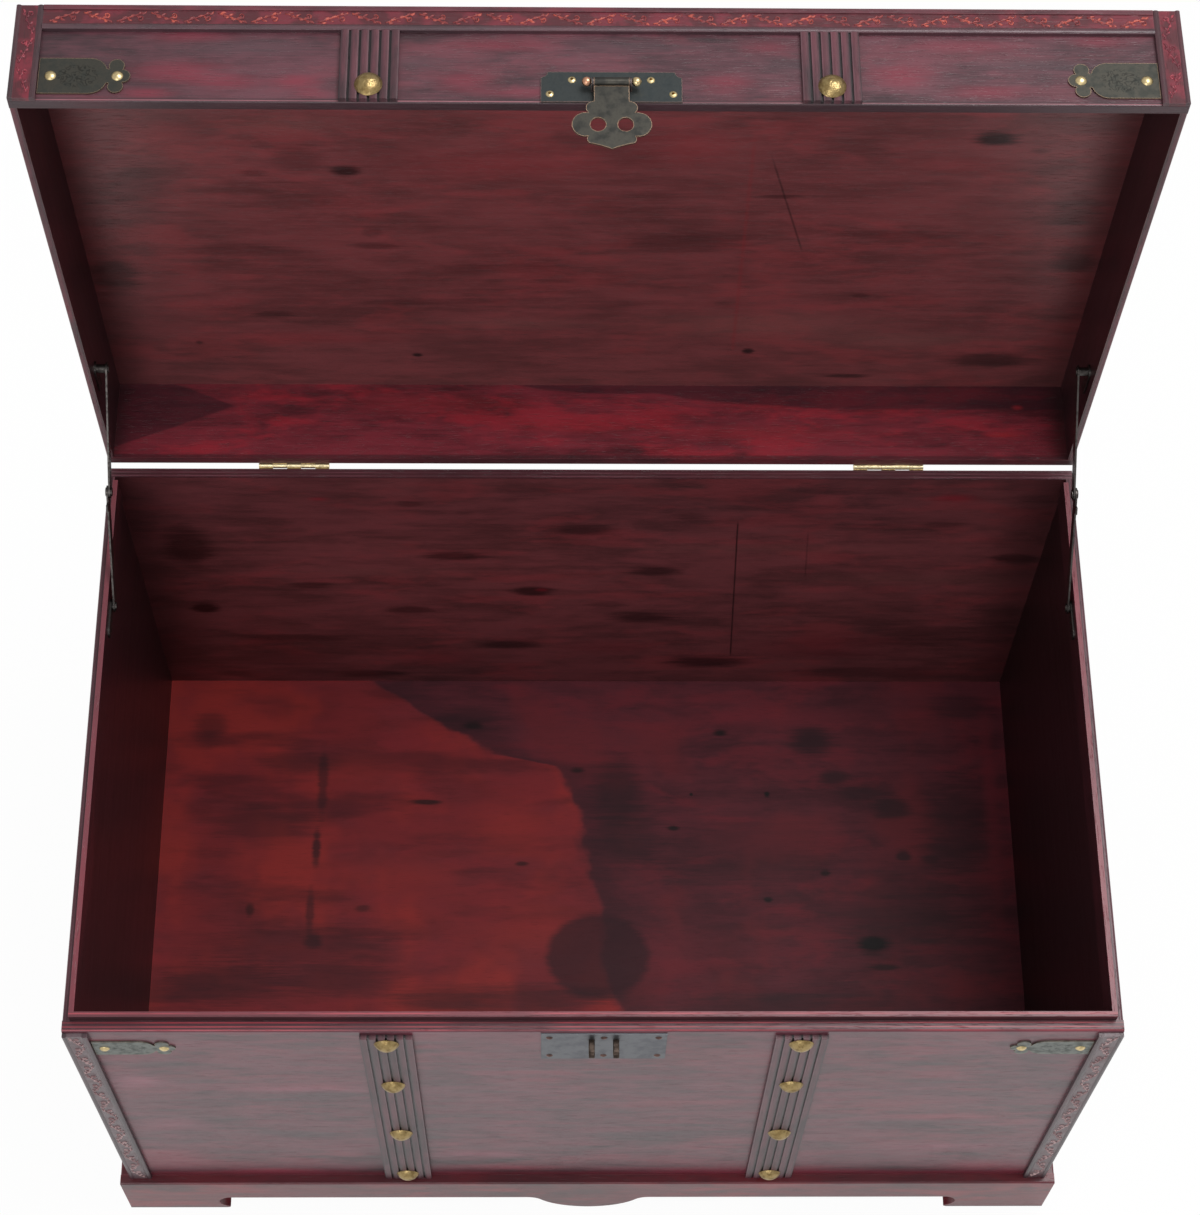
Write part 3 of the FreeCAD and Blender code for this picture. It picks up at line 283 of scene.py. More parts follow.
class Wood(Shader):
    """Stained board; layers are painted over one another before it is finished."""

    def __init__(self, name, along, tint=(1.0, 1.0, 1.0), shift=0.0, flare=0.5):
        super().__init__(name)
        stain = bpy.context.scene.trunk_stain
        self.stain = stain
        broad = self.noise(self.stretched(along, 9.0, 24.0), 1.0, 4, 0.6, 0.6)
        patch = self.noise(self.stretched(along, 26.0, 85.0), 1.0, 4, 0.65, 0.3)
        self.streak = self.noise(self.stretched(along, 8.0, 150.0), 1.0, 5, 0.62, 0.1)
        self.fine = self.noise(self.stretched(along, 45.0, 900.0), 1.0, 3, 0.6)
        self.pores = self.noise(self.stretched(along, 85.0, 1500.0), 1.0, 2, 0.5).ramp(0.58, 0.7)
        self.slow = self.noise(self.stretched(along, 14.0, 40.0), 1.0, 2, 0.5).ramp(0.36, 0.62)
        tone = (broad * 0.4 + patch * 0.26 + self.streak * 0.22 + self.fine * 0.12 + shift).ramp(0.39, 0.61)
        dark, middle, red = [[c * t for c, t in zip(colour, tint)]
                             for colour in (stain.dark, stain.middle, stain.red)]
        self.colour = self.blend(tone, dark, middle)
        warm = self.noise(self.stretched(along, 10.0, 30.0), 1.0, 4, 0.6, 0.5) * 0.7 + patch * 0.3
        self.paint(warm.ramp(0.49, 0.62) * flare, red)

    def line(self, value, centre, width, colour, strength=0.7):
        """Thin line along the grain that comes and goes slowly."""
        self.paint(value.near(centre, width) * (self.slow * 0.6 + 0.4) * strength, colour)

    def worn(self, strength=0.5, colour=None, radius=0.0011):
        """Rubbed arrises."""
        self.paint(self.arris(radius) * (self.slow * 0.7 + 0.3) * strength, colour or self.stain.worn)

    def spot(self, across, up, centre, size, colour, strength, soft, rough=1.0):
        """Oval stain or knot with an uneven border."""
        ragged = (self.streak - 0.5) * (0.9 * rough) + (self.fine - 0.5) * (0.5 * rough)
        far = self.oval(across, up, centre, size) ** 0.5 + ragged
        self.paint(far.ramp(1.0, 1.0 - soft) * strength, colour)

    def spots(self, across, up, marks, colour, soft=1.0):
        for x, y, wide, high, strength in marks:
            self.spot(across, up, (x, y), (wide, high), colour, strength, soft)

    def done(self, gloss=None, relief=0.00016, **constants):
        stain = self.stain
        height = self.streak * 0.5 + self.fine * 0.5 - self.pores * 0.5
        self.paint(self.pores * 0.22, stain.dark_marks_and_shade)
        rough = (gloss or stain.gloss) + self.streak * 0.12 - 0.06
        return self.surface(rough, self.bump(height, relief), **constants)


# ---------------------------------------------------------------- meshes

def coat(nodes, material):
    """Put one material on CAD nodes."""
    for name in nodes:
        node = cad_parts[name]
        node.data.materials.clear()
        node.data.materials.append(material)


def piece(name, mesh_maker, material, body):
    """Build a mesh object, give it its material and let it ride on a body."""
    mesh = bpy.data.meshes.new(name)
    work = bmesh.new()
    mesh_maker(work)
    bmesh.ops.recalc_face_normals(work, faces=work.faces)
    for face in work.faces:
        face.smooth = True
    work.to_mesh(mesh)
    work.free()
    mesh.materials.append(material)
    thing = bpy.data.objects.new(name, mesh)
    bpy.context.scene.collection.objects.link(thing)
    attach(thing, body)


class Face:
    """A flat place on the trunk: a corner, two directions along it and the way out of it."""

    def __init__(self, origin, along, across, out):
        self.origin = Vector(origin)
        self.along = Vector(along)
        self.across = Vector(across)
        self.out = Vector(out)

    def at(self, s, t, height=0.0):
        return self.origin + self.along * s + self.across * t + self.out * height


# half-round section of a ribbon: place across it in widths, and height
SECTION = ((-0.5, 0.0), (-0.3, 0.72), (0.0, 1.0), (0.3, 0.72), (0.5, 0.0))


def ribbon(work, face, path, widths, height):
    """Half-round ribbon on a face along a flat path, with its own width at each point."""
    rows = []
    for number, (s, t) in enumerate(path):
        before = path[max(number - 1, 0)]
        after = path[min(number + 1, len(path) - 1)]
        ds, dt = after[0] - before[0], after[1] - before[1]
        size = math.hypot(ds, dt) or 1.0
        ns, nt = -dt / size, ds / size
        width = widths[number]
        swell = height * min(1.0, 0.35 + width / max(widths))
        rows.append([work.verts.new(face.at(s + ns * width * a, t + nt * width * a, swell * h))
                     for a, h in SECTION])
    for low, high in zip(rows[:-1], rows[1:]):
        for k in range(len(SECTION) - 1):
            work.faces.new((low[k], low[k + 1], high[k + 1], high[k]))
    for row in (rows[0], rows[-1]):
        work.faces.new(row)


def spiral(centre, start, reach, turns, count):
    """Points of a curl that winds in from its outer radius."""
    points = []
    for number in range(count):
        share = number / (count - 1)
        radius = reach * (1.0 - 0.86 * share ** 0.85)
        angle = start + turns * 2 * math.pi * share
        points.append((centre[0] + radius * math.cos(angle), centre[1] + radius * math.sin(angle)))
    return points


def taper(count, width, tip=0.45):
    return [width * (1.0 - (1.0 - tip) * number / (count - 1)) for number in range(count)]


def leaf(root, angle, length, width, bend):
    """Curved leaf: its path and its widths."""
    path, widths = [], []
    for number in range(8):
        share = number / 7
        turn = angle + bend * share
        path.append((root[0] + length * share * math.cos(turn), root[1] + length * share * math.sin(turn)))
        widths.append(width * (math.sin(math.pi * min(share * 0.92 + 0.06, 1.0)) + 0.08))
    return path, widths


def sprig(work, face, middle, side, band, reach, settings):
    """Bent stem with leaves on both sides and a curl at its tip."""
    rise, stem = settings.rise, settings.stem
    path = []
    for number in range(11):
        share = number / 10
        path.append((middle + reach * (share - 0.5), side * band * (0.33 * math.sin(math.pi * (share - 0.5))
                                                                    + 0.07 * math.sin(2 * math.pi * share))))
    ribbon(work, face, path, taper(11, stem, 0.6), rise)
    for step, turn, size, bend in ((1, -1.0, 0.34, 0.8), (2, 1.25, 0.40, -0.7), (4, -1.2, 0.36, 0.6),
                                   (5, 1.1, 0.36, -0.8), (7, -1.0, 0.42, 0.9), (8, 1.3, 0.26, -0.6),
                                   (9, -0.2, 0.34, 0.7)):
        leaf_path, widths = leaf(path[step], side * turn, band * size, band * 0.15, side * bend)
        ribbon(work, face, leaf_path, widths, rise)
    curl = spiral((middle + reach * 0.36, -side * band * 0.12), side * 1.2, band * 0.2, -side * 1.2, 18)
    ribbon(work, face, curl, taper(len(curl), stem * 0.9), rise)


def vine(work, face, length, band):
    """Row of sprigs along a band, one slanting up and the next one down."""
    settings = bpy.context.scene.trunk_vine
    count = max(1, round(length / settings.pitch))
    pitch = length / count
    for number in range(count):
        side = 1 if number % 2 == 0 else -1
        sprig(work, face, (number + 0.5) * pitch, side, band, pitch * 0.8, settings)


# ---------------------------------------------------------------- operators

class TrunkOperator(bpy.types.Operator):
    bl_options = {"REGISTER", "UNDO"}

    def execute(self, context):
        self.make(context)
        return {"FINISHED"}


class TRUNK_OT_stage(TrunkOperator):
    """Set up the camera, the floor, the lamps and the sky"""
    bl_idname = "trunk.stage"
    bl_label = "Stage"

    def make(self, context):
        settings = context.scene.trunk_stage
        camera = bpy.data.cameras.new("camera")
        camera.lens = settings.lens
        camera.sensor_width = 36
        camera.clip_end = 50
        eye = bpy.data.objects.new("camera", camera)
        eye.location = EYE_PLACE
        eye.rotation_euler = EYE_TURN
        context.scene.collection.objects.link(eye)
        context.scene.camera = eye
        self.floor(settings)
        self.lamp("key", (0.9, 0.3, 2.9), 1.5, settings.key_power)
        self.lamp("fill", (-0.7, -2.1, 2.2), 1.8, settings.fill_power)
        self.sky(context, settings.sky)
        context.scene.view_settings.view_transform = "Standard"

    def floor(self, settings):
        shader = Shader("floor")
        base = shader.add("ShaderNodeBsdfDiffuse", {}, {"Color": (*settings.floor_colour, 1.0)})
        glow = shader.add("ShaderNodeEmission", {}, {"Color": (1, 1, 1, 1), "Strength": 1.0})
        seen = shader.add("ShaderNodeLightPath", {}, {}, "Is Camera Ray")
        mirror = shader.add("ShaderNodeLightPath", {}, {}, "Is Glossy Ray")
        # nearly white where it is seen or mirrored, and a plain grey for the light it gives back
        white = (seen * 0.96) | (mirror * 0.72)
        shader.close(shader.add("ShaderNodeMixShader", {}, {0: white, 1: base, 2: glow}))
        mesh = bpy.data.meshes.new("floor")
        mesh.from_pydata([(-9, -9, 0), (9, -9, 0), (9, 9, 0), (-9, 9, 0)], [], [(0, 1, 2, 3)])
        mesh.materials.append(shader.material)
        ground = bpy.data.objects.new("floor", mesh)
        bpy.context.scene.collection.objects.link(ground)

    def lamp(self, name, spot, size, power):
        light = bpy.data.lights.new(name, "AREA")
        light.shape = "DISK"
        light.size = size
        light.energy = power
        thing = bpy.data.objects.new(name, light)
        thing.location = spot
        aim = Vector(LAMP_AIM) - Vector(spot)
        thing.rotation_euler = aim.to_track_quat("-Z", "Y").to_euler()
        bpy.context.scene.collection.objects.link(thing)

    def sky(self, context, strength):
        world = bpy.data.worlds.new("sky")
        world.use_nodes = True
        tree = world.node_tree
        tree.nodes.clear()
        dim = tree.nodes.new("ShaderNodeBackground")
        bright = tree.nodes.new("ShaderNodeBackground")
        path = tree.nodes.new("ShaderNodeLightPath")
        mix = tree.nodes.new("ShaderNodeMixShader")
        end = tree.nodes.new("ShaderNodeOutputWorld")
        for background, level in ((dim, strength), (bright, 1.0)):
            background.inputs["Color"].default_value = (1, 1, 1, 1)
            background.inputs["Strength"].default_value = level
        tree.links.new(path.outputs["Is Camera Ray"], mix.inputs[0])
        tree.links.new(dim.outputs[0], mix.inputs[1])
        tree.links.new(bright.outputs[0], mix.inputs[2])
        tree.links.new(mix.outputs[0], end.inputs["Surface"])
        context.scene.world = world


class TRUNK_OT_box(TrunkOperator):
    """Stain the panels of the box, outside, inside and along the rim, with painted shade on their inner faces
    and in their inner corners
    """
    bl_idname = "trunk.box"
    bl_label = "Box panels"

    # marks: place, half width and half height in millimetres, then strength
    FRONT_PALE = ((-315, 300, 34, 22, 0.54), (-205, 282, 90, 10, 0.36), (-300, 200, 40, 24, 0.315),
                  (-80, 120, 70, 12, 0.315), (262, 140, 60, 14, 0.315))
    FRONT_RED = ((-320, 112, 60, 40, 0.45), (-240, 78, 60, 14, 0.45), (-60, 86, 90, 12, 0.405),
                 (70, 250, 70, 9, 0.36), (250, 215, 60, 10, 0.405), (300, 90, 50, 16, 0.45))
    FRONT_DARK = ((-225, 258, 60, 9, 0.495), (-255, 300, 60, 7, 0.36), (-195, 175, 80, 10, 0.36),
                  (-95, 196, 60, 8, 0.45), (40, 170, 80, 12, 0.405), (-20, 330, 100, 10, 0.36),
                  (240, 290, 70, 12, 0.405))
    BACK_KNOTS = (
        (-303, 199, 15, 12, 0.95), (-217, 238, 22, 8, 0.6), (-141, 196, 26, 9, 0.65),
        (-238, 146, 60, 9, 0.45), (-290, 80, 22, 8, 0.45), (-177, 80, 42, 9, 0.7), (-64, 134, 34, 9, 0.7),
        (-44, 229, 22, 13, 0.85), (51, 263, 30, 11, 0.7), (44, 184, 38, 11, 0.75), (98, 103, 48, 14, 0.8),
        (14, 207, 20, 9, 0.35), (-5, 329, 34, 12, 0.6), (-103, 287, 34, 10, 0.7), (-133, 368, 14, 6, 0.45),
        (-305, 300, 24, 46, 0.75),
        (326, 285, 24, 12, 0.6), (266, 338, 26, 7, 0.4), (75, 350, 22, 8, 0.35), (-250, 110, 70, 22, 0.35),
        (-20, 60, 120, 10, 0.4), (240, 84, 90, 14, 0.35), (270, 150, 60, 30, 0.3))
    BACK_SPLASHES = ((-201, 375, 12, 4, 0.6), (267, 379, 24, 9, 0.55), (-37, 231, 7, 5, 0.5))
    BACK_BROWN = ((250, 250, 130, 16, 0.4), (130, 300, 150, 12, 0.35), (-160, 260, 110, 14, 0.3))
    BACK_RED = ((190, 130, 90, 30, 0.4), (-120, 110, 60, 24, 0.35), (20, 130, 60, 20, 0.35))
    # lean, foot, top and bottom in metres, then strength
    BACK_CRACKS = ((-0.031, 0.1206, 0.345, 0.112, 0.9), (-0.05, 0.18, 0.33, 0.25, 0.4))

    def make(self, context):
        self.front_panel()
        self.back_panel()
        for name in ("left_panel", "right_panel"):
            self.end_panel(name)

    def rim(self, board, value, low, thickness, top, colour):
        """Dark sawn edge with thin layer lines."""
        on_top = board.z.ramp(top - 0.0011, top - 0.0004)
        board.paint(on_top * 0.8, display(60, 26, 34))
        for share, tone in ((0.12, 0.7), (0.42, 0.85), (0.8, 0.95)):
            line = value.near(low + thickness * share, 0.0008)
            board.paint(on_top * line * (board.slow * 0.6 + 0.3) * tone, colour)

    def front_panel(self):
        low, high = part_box("front_panel")
        board = Wood("front_panel", 0, (1.0, 0.95, 1.15), 0.02, 0.2)
        middle = (low.y + high.y) / 2
        # painted shade: the inner face is darker because the inside of the chest is shaded
        board.paint(board.y.ramp(middle, high.y) * 0.6, board.stain.dark_marks_and_shade)
        outside = board.y.ramp(middle, low.y)
        board.spots(board.x, board.z, self.FRONT_PALE, display(150, 72, 92))
        board.spots(board.x, board.z, self.FRONT_RED, display(138, 34, 56))
        board.spots(board.x, board.z, self.FRONT_DARK, display(58, 36, 46))
        board.paint(outside * board.z.ramp(low.z + 0.038, low.z + 0.028) * 0.5, display(104, 22, 38))
        self.rim(board, board.y, low.y, high.y - low.y, high.z, display(172, 60, 72))
        board.worn(0.5, display(150, 92, 104))
        coat(["front_panel"], board.done())

    def back_panel(self):
        low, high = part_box("back_panel")
        board = Wood("back_panel", 0, (1.8, 2.0, 1.75), 0.01, 0.3)
        board.paint(0.3, display(100, 56, 56))
        dark_marks_and_shade = board.stain.dark_marks_and_shade
        # painted shade: the top of the inner face is darker, under the rim and the open lid
        board.paint(board.z.ramp(0.3, 0.36) * board.y.ramp(high.y, low.y) * 0.25, display(46, 26, 32))
        board.spots(board.x, board.z, self.BACK_KNOTS, dark_marks_and_shade, 0.65)
        board.spots(board.x, board.z, self.BACK_SPLASHES, display(132, 26, 40))
        board.spots(board.x, board.z, self.BACK_BROWN, display(112, 66, 66))
        board.spots(board.x, board.z, self.BACK_RED, display(112, 34, 42))
        for lean, foot, top, bottom, strength in self.BACK_CRACKS:
            crack = (board.x - (board.z * lean + foot)).near(0.0, 0.0011) \
                * board.z.ramp(bottom, bottom + 0.01) * board.z.ramp(top, top - 0.01)
            board.paint(crack * strength, dark_marks_and_shade)
        # painted shade: the inner face is darker towards both ends, in the corners where the end walls meet
        # it
        corner_shade = abs(board.x).ramp(0.29, 0.345) * board.y.ramp(high.y, low.y)
        board.paint(corner_shade * 0.6, dark_marks_and_shade)
        outside = board.y.ramp((low.y + high.y) / 2, high.y)
        plain = board.blend(board.streak.ramp(0.4, 0.62), board.stain.dark, board.stain.middle)
        board.paint(outside * 0.8, plain)
        self.rim(board, board.y, high.y, low.y - high.y, high.z, display(112, 66, 76))
        coat(["back_panel"], board.done())

    def end_panel(self, name):
        low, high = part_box(name)
        board = Wood(name, 1, (1.0, 0.9, 1.05), 0.0, 0.3)
        board.paint(0.4, display(82, 36, 44))
        left = name == "left_panel"
        outer, inner = (low.x, high.x) if left else (high.x, low.x)
        # painted shade: the inner face is near black, and the right wall is darker than the left because the
        # light comes from the right
        inside = board.x.ramp((low.x + high.x) / 2, inner)
        board.paint(inside * (0.82 if left else 0.92), display(13, 7, 8))
        self.rim(board, board.x, outer, inner - outer, high.z, display(104, 62, 74))
        board.worn(0.45)
        coat([name], board.done())


class TRUNK_OT_plinth(TrunkOperator):
    """Stain the plinth, the blocks behind its feet and the cleats under the floor"""
    bl_idname = "trunk.plinth"
    bl_label = "Plinth"

    def make(self, context):
        for name, along in (("plinth_front", 0), ("plinth_back", 0), ("plinth_left", 1),
                            ("plinth_right", 1)):
            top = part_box(name)[1].z
            board = Wood(name, along, (1.1, 0.5, 0.6), 0.02, 0.45)
            ledge = board.z.ramp(top - 0.0012, top - 0.0004)
            board.paint(ledge * 0.6, display(80, 26, 36))
            board.paint(board.z.ramp(0.004, 0.001) * 0.6, board.stain.dark_marks_and_shade)
            board.worn(0.45, display(168, 92, 104))
            coat([name], board.done())
        raw = Wood("raw_wood", 0)
        raw.colour = raw.blend(raw.streak, display(126, 92, 62), display(176, 138, 98))
        coat(["foot_blocks", "floor_cleats"], raw.done(0.7))


class TRUNK_OT_floor(TrunkOperator):
    """Stain the chest's floor, bright red on the left and dark on the right"""
    bl_idname = "trunk.chest_floor"
    bl_label = "Chest floor"

    # marks: place, half width and half depth in millimetres, then strength
    BRIGHT = ((-60, 40, 50, 40, 0.5), (-38, -46, 60, 34, 0.5), (-190, 90, 60, 30, 0.35),
              (-150, 0, 70, 24, 0.35), (-300, 160, 24, 14, 0.5))
    RED = ((60, -70, 90, 40, 0.45), (140, 30, 60, 26, 0.45), (330, 60, 9, 130, 0.55),
           (150, 140, 120, 16, 0.5))
    STAINS = (
        (24, 72, 28, 42, 0.7), (34, 34, 36, 34, 0.5), (-285, -92, 70, 26, 0.55), (-200, -88, 70, 20, 0.5),
        (-110, -104, 60, 16, 0.45), (-140, 172, 30, 10, 0.3), (-95, 140, 40, 16, 0.5),
        (185, 119, 28, 18, 0.85), (202, 86, 18, 9, 0.7), (249, 59, 22, 14, 0.8), (225, 72, 26, 9, 0.6),
        (300, 40, 40, 60, 0.5), (250, -40, 80, 40, 0.4), (256, 17, 9, 7, 0.8), (278, 14, 10, 5, 0.6),
        (120, 20, 110, 40, 0.3), (-262, 44, 60, 26, 0.5), (-240, 100, 50, 14, 0.5), (-230, -60, 110, 26, 0.4),
        (-60, -105, 120, 16, 0.4), (160, -110, 120, 14, 0.5), (-216, 80, 6, 42, 0.6), (-219, 24, 5, 22, 0.8),
        (-222, -30, 5, 26, 0.6), (-219, -56, 11, 9, 0.7), (-310, 130, 20, 20, 0.5), (310, 150, 40, 16, 0.5))
    KNOTS = (
        (228, -59, 17, 11, 1.0), (147, 71, 3.6, 3.6, 1.0), (85, 71, 2.0, 2.0, 1.0), (110, 126, 9, 4, 0.9),
        (145, -21, 5, 3, 0.9), (70, 41, 7, 3.5, 0.9), (192, 2, 6, 4, 0.8), (-53, 10, 8, 3, 0.7),
        (-8, 92, 9, 3.5, 0.8), (235, -78, 16, 4, 0.7), (-131, 64, 16, 3.5, 0.8), (-94, 133, 13, 5, 0.8),
        (-180, -28, 9, 4, 0.5), (-270, -30, 5, 8, 0.6))

    def make(self, context):
        board = Wood("floor_panel", 0, (1.12, 0.82, 0.86), 0.02, 0.45)
        wobble = (board.noise(board.place, 16.0, 4) - 0.5) * 0.05
        # the red part ends at a slanting line, which steps to the left near the back
        border = board.x + wobble + 0.012 - (0.069 - board.y) * 0.2 + board.y.ramp(0.095, 0.108) * 0.058 \
            + ((board.y - 0.108) | 0.0) * 1.3
        red = border.ramp(0.006, -0.006)
        board.paint(red * (board.slow * 0.3 + 0.5), display(128, 36, 40))
        board.paint(red * board.cloud(11.0, 0.46, 0.66) * 0.6, display(158, 46, 40))
        board.paint(red * board.noise(board.stretched(0, 7.0, 34.0), 1.0, 4).ramp(0.5, 0.68) * 0.6,
                    display(66, 22, 28))
        board.paint((1.0 - red) * 0.5, display(74, 28, 38))
        board.paint((1.0 - red) * board.cloud(13.0, 0.5, 0.7) * 0.5, display(112, 34, 40))
        board.spots(board.x, board.y, self.BRIGHT, display(150, 44, 40))
        board.spots(board.x, board.y, self.RED, display(112, 34, 44))
        tide = border.ramp(-0.002, 0.003) * border.ramp(0.05, 0.004)
        board.paint(tide * 0.45, display(44, 20, 28))
        board.spot(board.x, board.y, (8, -69), (45, 40), display(50, 20, 28), 0.8, 0.2, 0.25)
        board.spots(board.x, board.y, self.STAINS, display(38, 20, 26), 0.7)
        board.spots(board.x, board.y, self.KNOTS, display(20, 12, 14), 0.7)
        coat(["floor_panel"], board.done(0.6, 0.00006, Specular_IOR_Level=0.22))


class TRUNK_OT_lips(TrunkOperator):
    """Stain the dust lips inside the rim, with painted shade below their tops and a painted shadow along the
    front lip's outer edge
    """
    bl_idname = "trunk.lips"
    bl_label = "Dust lips"

    def make(self, context):
        for name, along in (("dust_lip_front", 0), ("dust_lip_left", 1), ("dust_lip_right", 1)):
            low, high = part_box(name)
            board = Wood(name, along, (1.0, 0.9, 1.0), -0.02, 0.3)
            # painted shade: the lip's faces below its top are near black, in the dark gap inside the rim
            board.paint(board.z.ramp(high.z - 0.001, high.z - 0.002) * 0.7, display(18, 10, 12))
            top = board.z.ramp(high.z - 0.0008, high.z - 0.0003)
            board.paint(top * 0.5, display(132, 62, 72))
            if name == "dust_lip_front":
                middle = (low.y + high.y) / 2
                streak = top * board.y.near(middle + 0.0004, 0.0007) * board.slow
                board.paint(streak * 0.9, display(176, 72, 82))
                # painted shadow: a dark line along the top's outer edge, in the gap between the rim and the
                # lip
                board.paint(top * board.y.near(low.y + 0.0005, 0.0006) * 0.6, display(40, 22, 28))
            board.worn(0.4, display(140, 96, 104), 0.0006)
            coat([name], board.done())


class TRUNK_OT_lid(TrunkOperator):
    """Stain the boards of the lid, with painted shade on the inner faces of its side boards and towards the
    ends of its panel and back board
    """
    bl_idname = "trunk.lid"
    bl_label = "Lid boards"

    # marks: place, half width and half height in millimetres, then strength
    PANEL_KNOTS = (
        (-163, 681, 15, 9, 0.85), (-194, 693, 26, 20, 0.35), (-223, 678, 14, 6, 0.4), (-149, 596, 24, 6, 0.5),
        (-150, 612, 10, 10, 0.3), (-126, 458, 5.5, 4, 0.95), (-224, 511, 20, 7, 0.45), (-281, 474, 4, 3, 0.6),
        (-330, 560, 24, 30, 0.6), (-300, 660, 30, 40, 0.25), (255, 719, 20, 11, 0.9), (286, 706, 9, 5, 0.4),
        (112, 465, 6.5, 5, 0.95), (287, 454, 44, 13, 0.6), (186, 431, 22, 4, 0.7), (186, 537, 8, 3.5, 0.4),
        (319, 641, 22, 26, 0.4), (328, 582, 20, 20, 0.45), (60, 600, 70, 16, 0.35), (120, 655, 20, 3, 0.5),
        (-60, 570, 60, 8, 0.3), (-240, 590, 60, 9, 0.35), (-100, 528, 90, 6, 0.3), (200, 610, 60, 10, 0.3))
    PANEL_BROWN = ((120, 500, 130, 26, 0.4), (220, 480, 110, 20, 0.35), (-60, 500, 100, 12, 0.3),
                   (-200, 730, 60, 16, 0.3))
    PANEL_RED = ((-60, 690, 120, 26, 0.35), (60, 710, 50, 30, 0.4), (240, 690, 60, 12, 0.3),
                 (-280, 720, 40, 20, 0.35), (-200, 480, 90, 14, 0.35))
    FRONT_RED = (
        (-250, 206, 46, 12, 0.75), (-222, 198, 34, 9, 0.6), (-268, 190, 26, 7, 0.7), (-180, 199, 22, 9, 0.7),
        (-172, 190, 18, 6, 0.5), (-245, 232, 40, 7, 0.5), (-60, 226, 50, 8, 0.5), (-80, 200, 26, 12, 0.6),
        (-50, 192, 40, 6, 0.5), (75, 200, 26, 10, 0.6), (100, 226, 30, 8, 0.5), (180, 204, 30, 14, 0.7),
        (230, 194, 40, 8, 0.6), (220, 228, 50, 7, 0.5), (-300, 184, 24, 5, 0.6), (300, 232, 24, 8, 0.5))
    FRONT_GREY = ((-210, 224, 60, 9, 0.5), (-300, 214, 26, 10, 0.35), (-110, 214, 30, 8, 0.4),
                  (20, 226, 60, 6, 0.4), (120, 212, 40, 9, 0.4), (260, 214, 50, 8, 0.45))
    BACK_RED = ((-120, 230, 90, 14, 0.35), (120, 206, 120, 10, 0.4), (-20, 210, 90, 9, 0.3),
                (300, 205, 18, 3.5, 0.8), (312, 228, 6, 3, 0.7))

    def make(self, context):
        self.panel()
        self.front()
        self.back()
        for name in ("lid_left_board", "lid_right_board"):
            low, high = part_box(name)
            board = Wood(name, 2, (1.0, 0.9, 1.05), 0.0, 0.3)
            board.paint(0.4, display(82, 36, 44))
            inner = high.x if name == "lid_left_board" else low.x
            # painted shade: the inner face is near black, inside the open lid
            board.paint(board.x.ramp((low.x + high.x) / 2, inner) * 0.75, display(16, 9, 10))
            board.worn(0.45)
            coat([name], board.done())

    def panel(self):
        low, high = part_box("lid_top_panel")
        board = Wood("lid_top_panel", 0, (1.5, 1.6, 1.36), 0.01, 0.3)
        board.paint(0.42, display(106, 54, 55))
        dark_marks_and_shade = board.stain.dark_marks_and_shade
        board.spots(board.x, board.z, self.PANEL_KNOTS, dark_marks_and_shade, 0.7)
        board.spots(board.x, board.z, self.PANEL_BROWN, display(118, 74, 72))
        board.spots(board.x, board.z, self.PANEL_RED, display(138, 46, 52))
        split = (board.x - (board.z * -0.26 + 0.2948)).near(0.0, 0.0013) \
            * board.z.ramp(0.588, 0.6) * board.z.ramp(0.705, 0.68)
        board.paint(split * 0.55, dark_marks_and_shade)
        scratch = board.x.near(0.1008, 0.0022) * board.z.ramp(0.462, 0.47) * board.z.ramp(0.73, 0.7)
        board.paint(scratch * 0.4, display(120, 36, 40))
        # painted shade: the inner face is darker towards both ends, in the corners of the lid
        board.paint(abs(board.x).ramp(0.31, 0.345) * board.y.ramp(high.y, low.y) * 0.45, dark_marks_and_shade)
        coat(["lid_top_panel"], board.done())

    def front(self):
        low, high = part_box("lid_front_board")
        board = Wood("lid_front_board", 0, (0.86, 1.3, 1.32), 0.02, 0.18)
        board.spots(board.x, board.y, self.FRONT_RED, display(118, 38, 54))
        board.spots(board.x, board.y, self.FRONT_GREY, display(72, 54, 60))
        edge = board.y.ramp(low.y + 0.0034, low.y + 0.0018)
        board.paint(edge * 0.72, display(46, 28, 34))
        board.line(board.y, low.y + 0.0012, 0.0007, display(150, 96, 104), 0.9)
        inner = board.z.ramp(high.z - 0.003, low.z)
        board.paint(inner * 0.5, board.stain.dark)
        coat(["lid_front_board"], board.done())

    def back(self):
        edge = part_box("lid_back_board")[0].y
        board = Wood("lid_back_board", 0, (1.62, 0.85, 1.0), 0.03, 0.5)
        wobble = (board.noise(board.place, 14.0, 3) - 0.5) * 0.012
        # dark tongue along the far edge, and a dark wedge at the left end
        flame = (board.y + wobble - (0.2475 - (board.x + 0.06) * 0.105 | 0.2265)).ramp(-0.0015, 0.0015) \
            * board.x.ramp(-0.066, -0.05)
        board.paint(flame * 0.7, display(56, 22, 32))
        wedge = (board.x * -1.0 - 0.258 - abs(board.y - 0.2275) * 2.4 + wobble).ramp(0.0, 0.006)
        board.paint(wedge * 0.65, display(54, 22, 32))
        board.spots(board.x, board.y, self.BACK_RED, display(150, 36, 44))
        # painted shade: both ends are darker, near black at the right corner inside the lid
        board.paint(board.x.ramp(0.325, 0.346) * 0.8, board.stain.dark_marks_and_shade)
        board.paint(board.x.ramp(-0.33, -0.346) * 0.5, board.stain.dark_marks_and_shade)
        board.paint(board.y.ramp(edge + 0.004, edge + 0.002) * 0.6, display(44, 22, 28))
        board.worn(0.3)
        coat(["lid_back_board"], board.done())


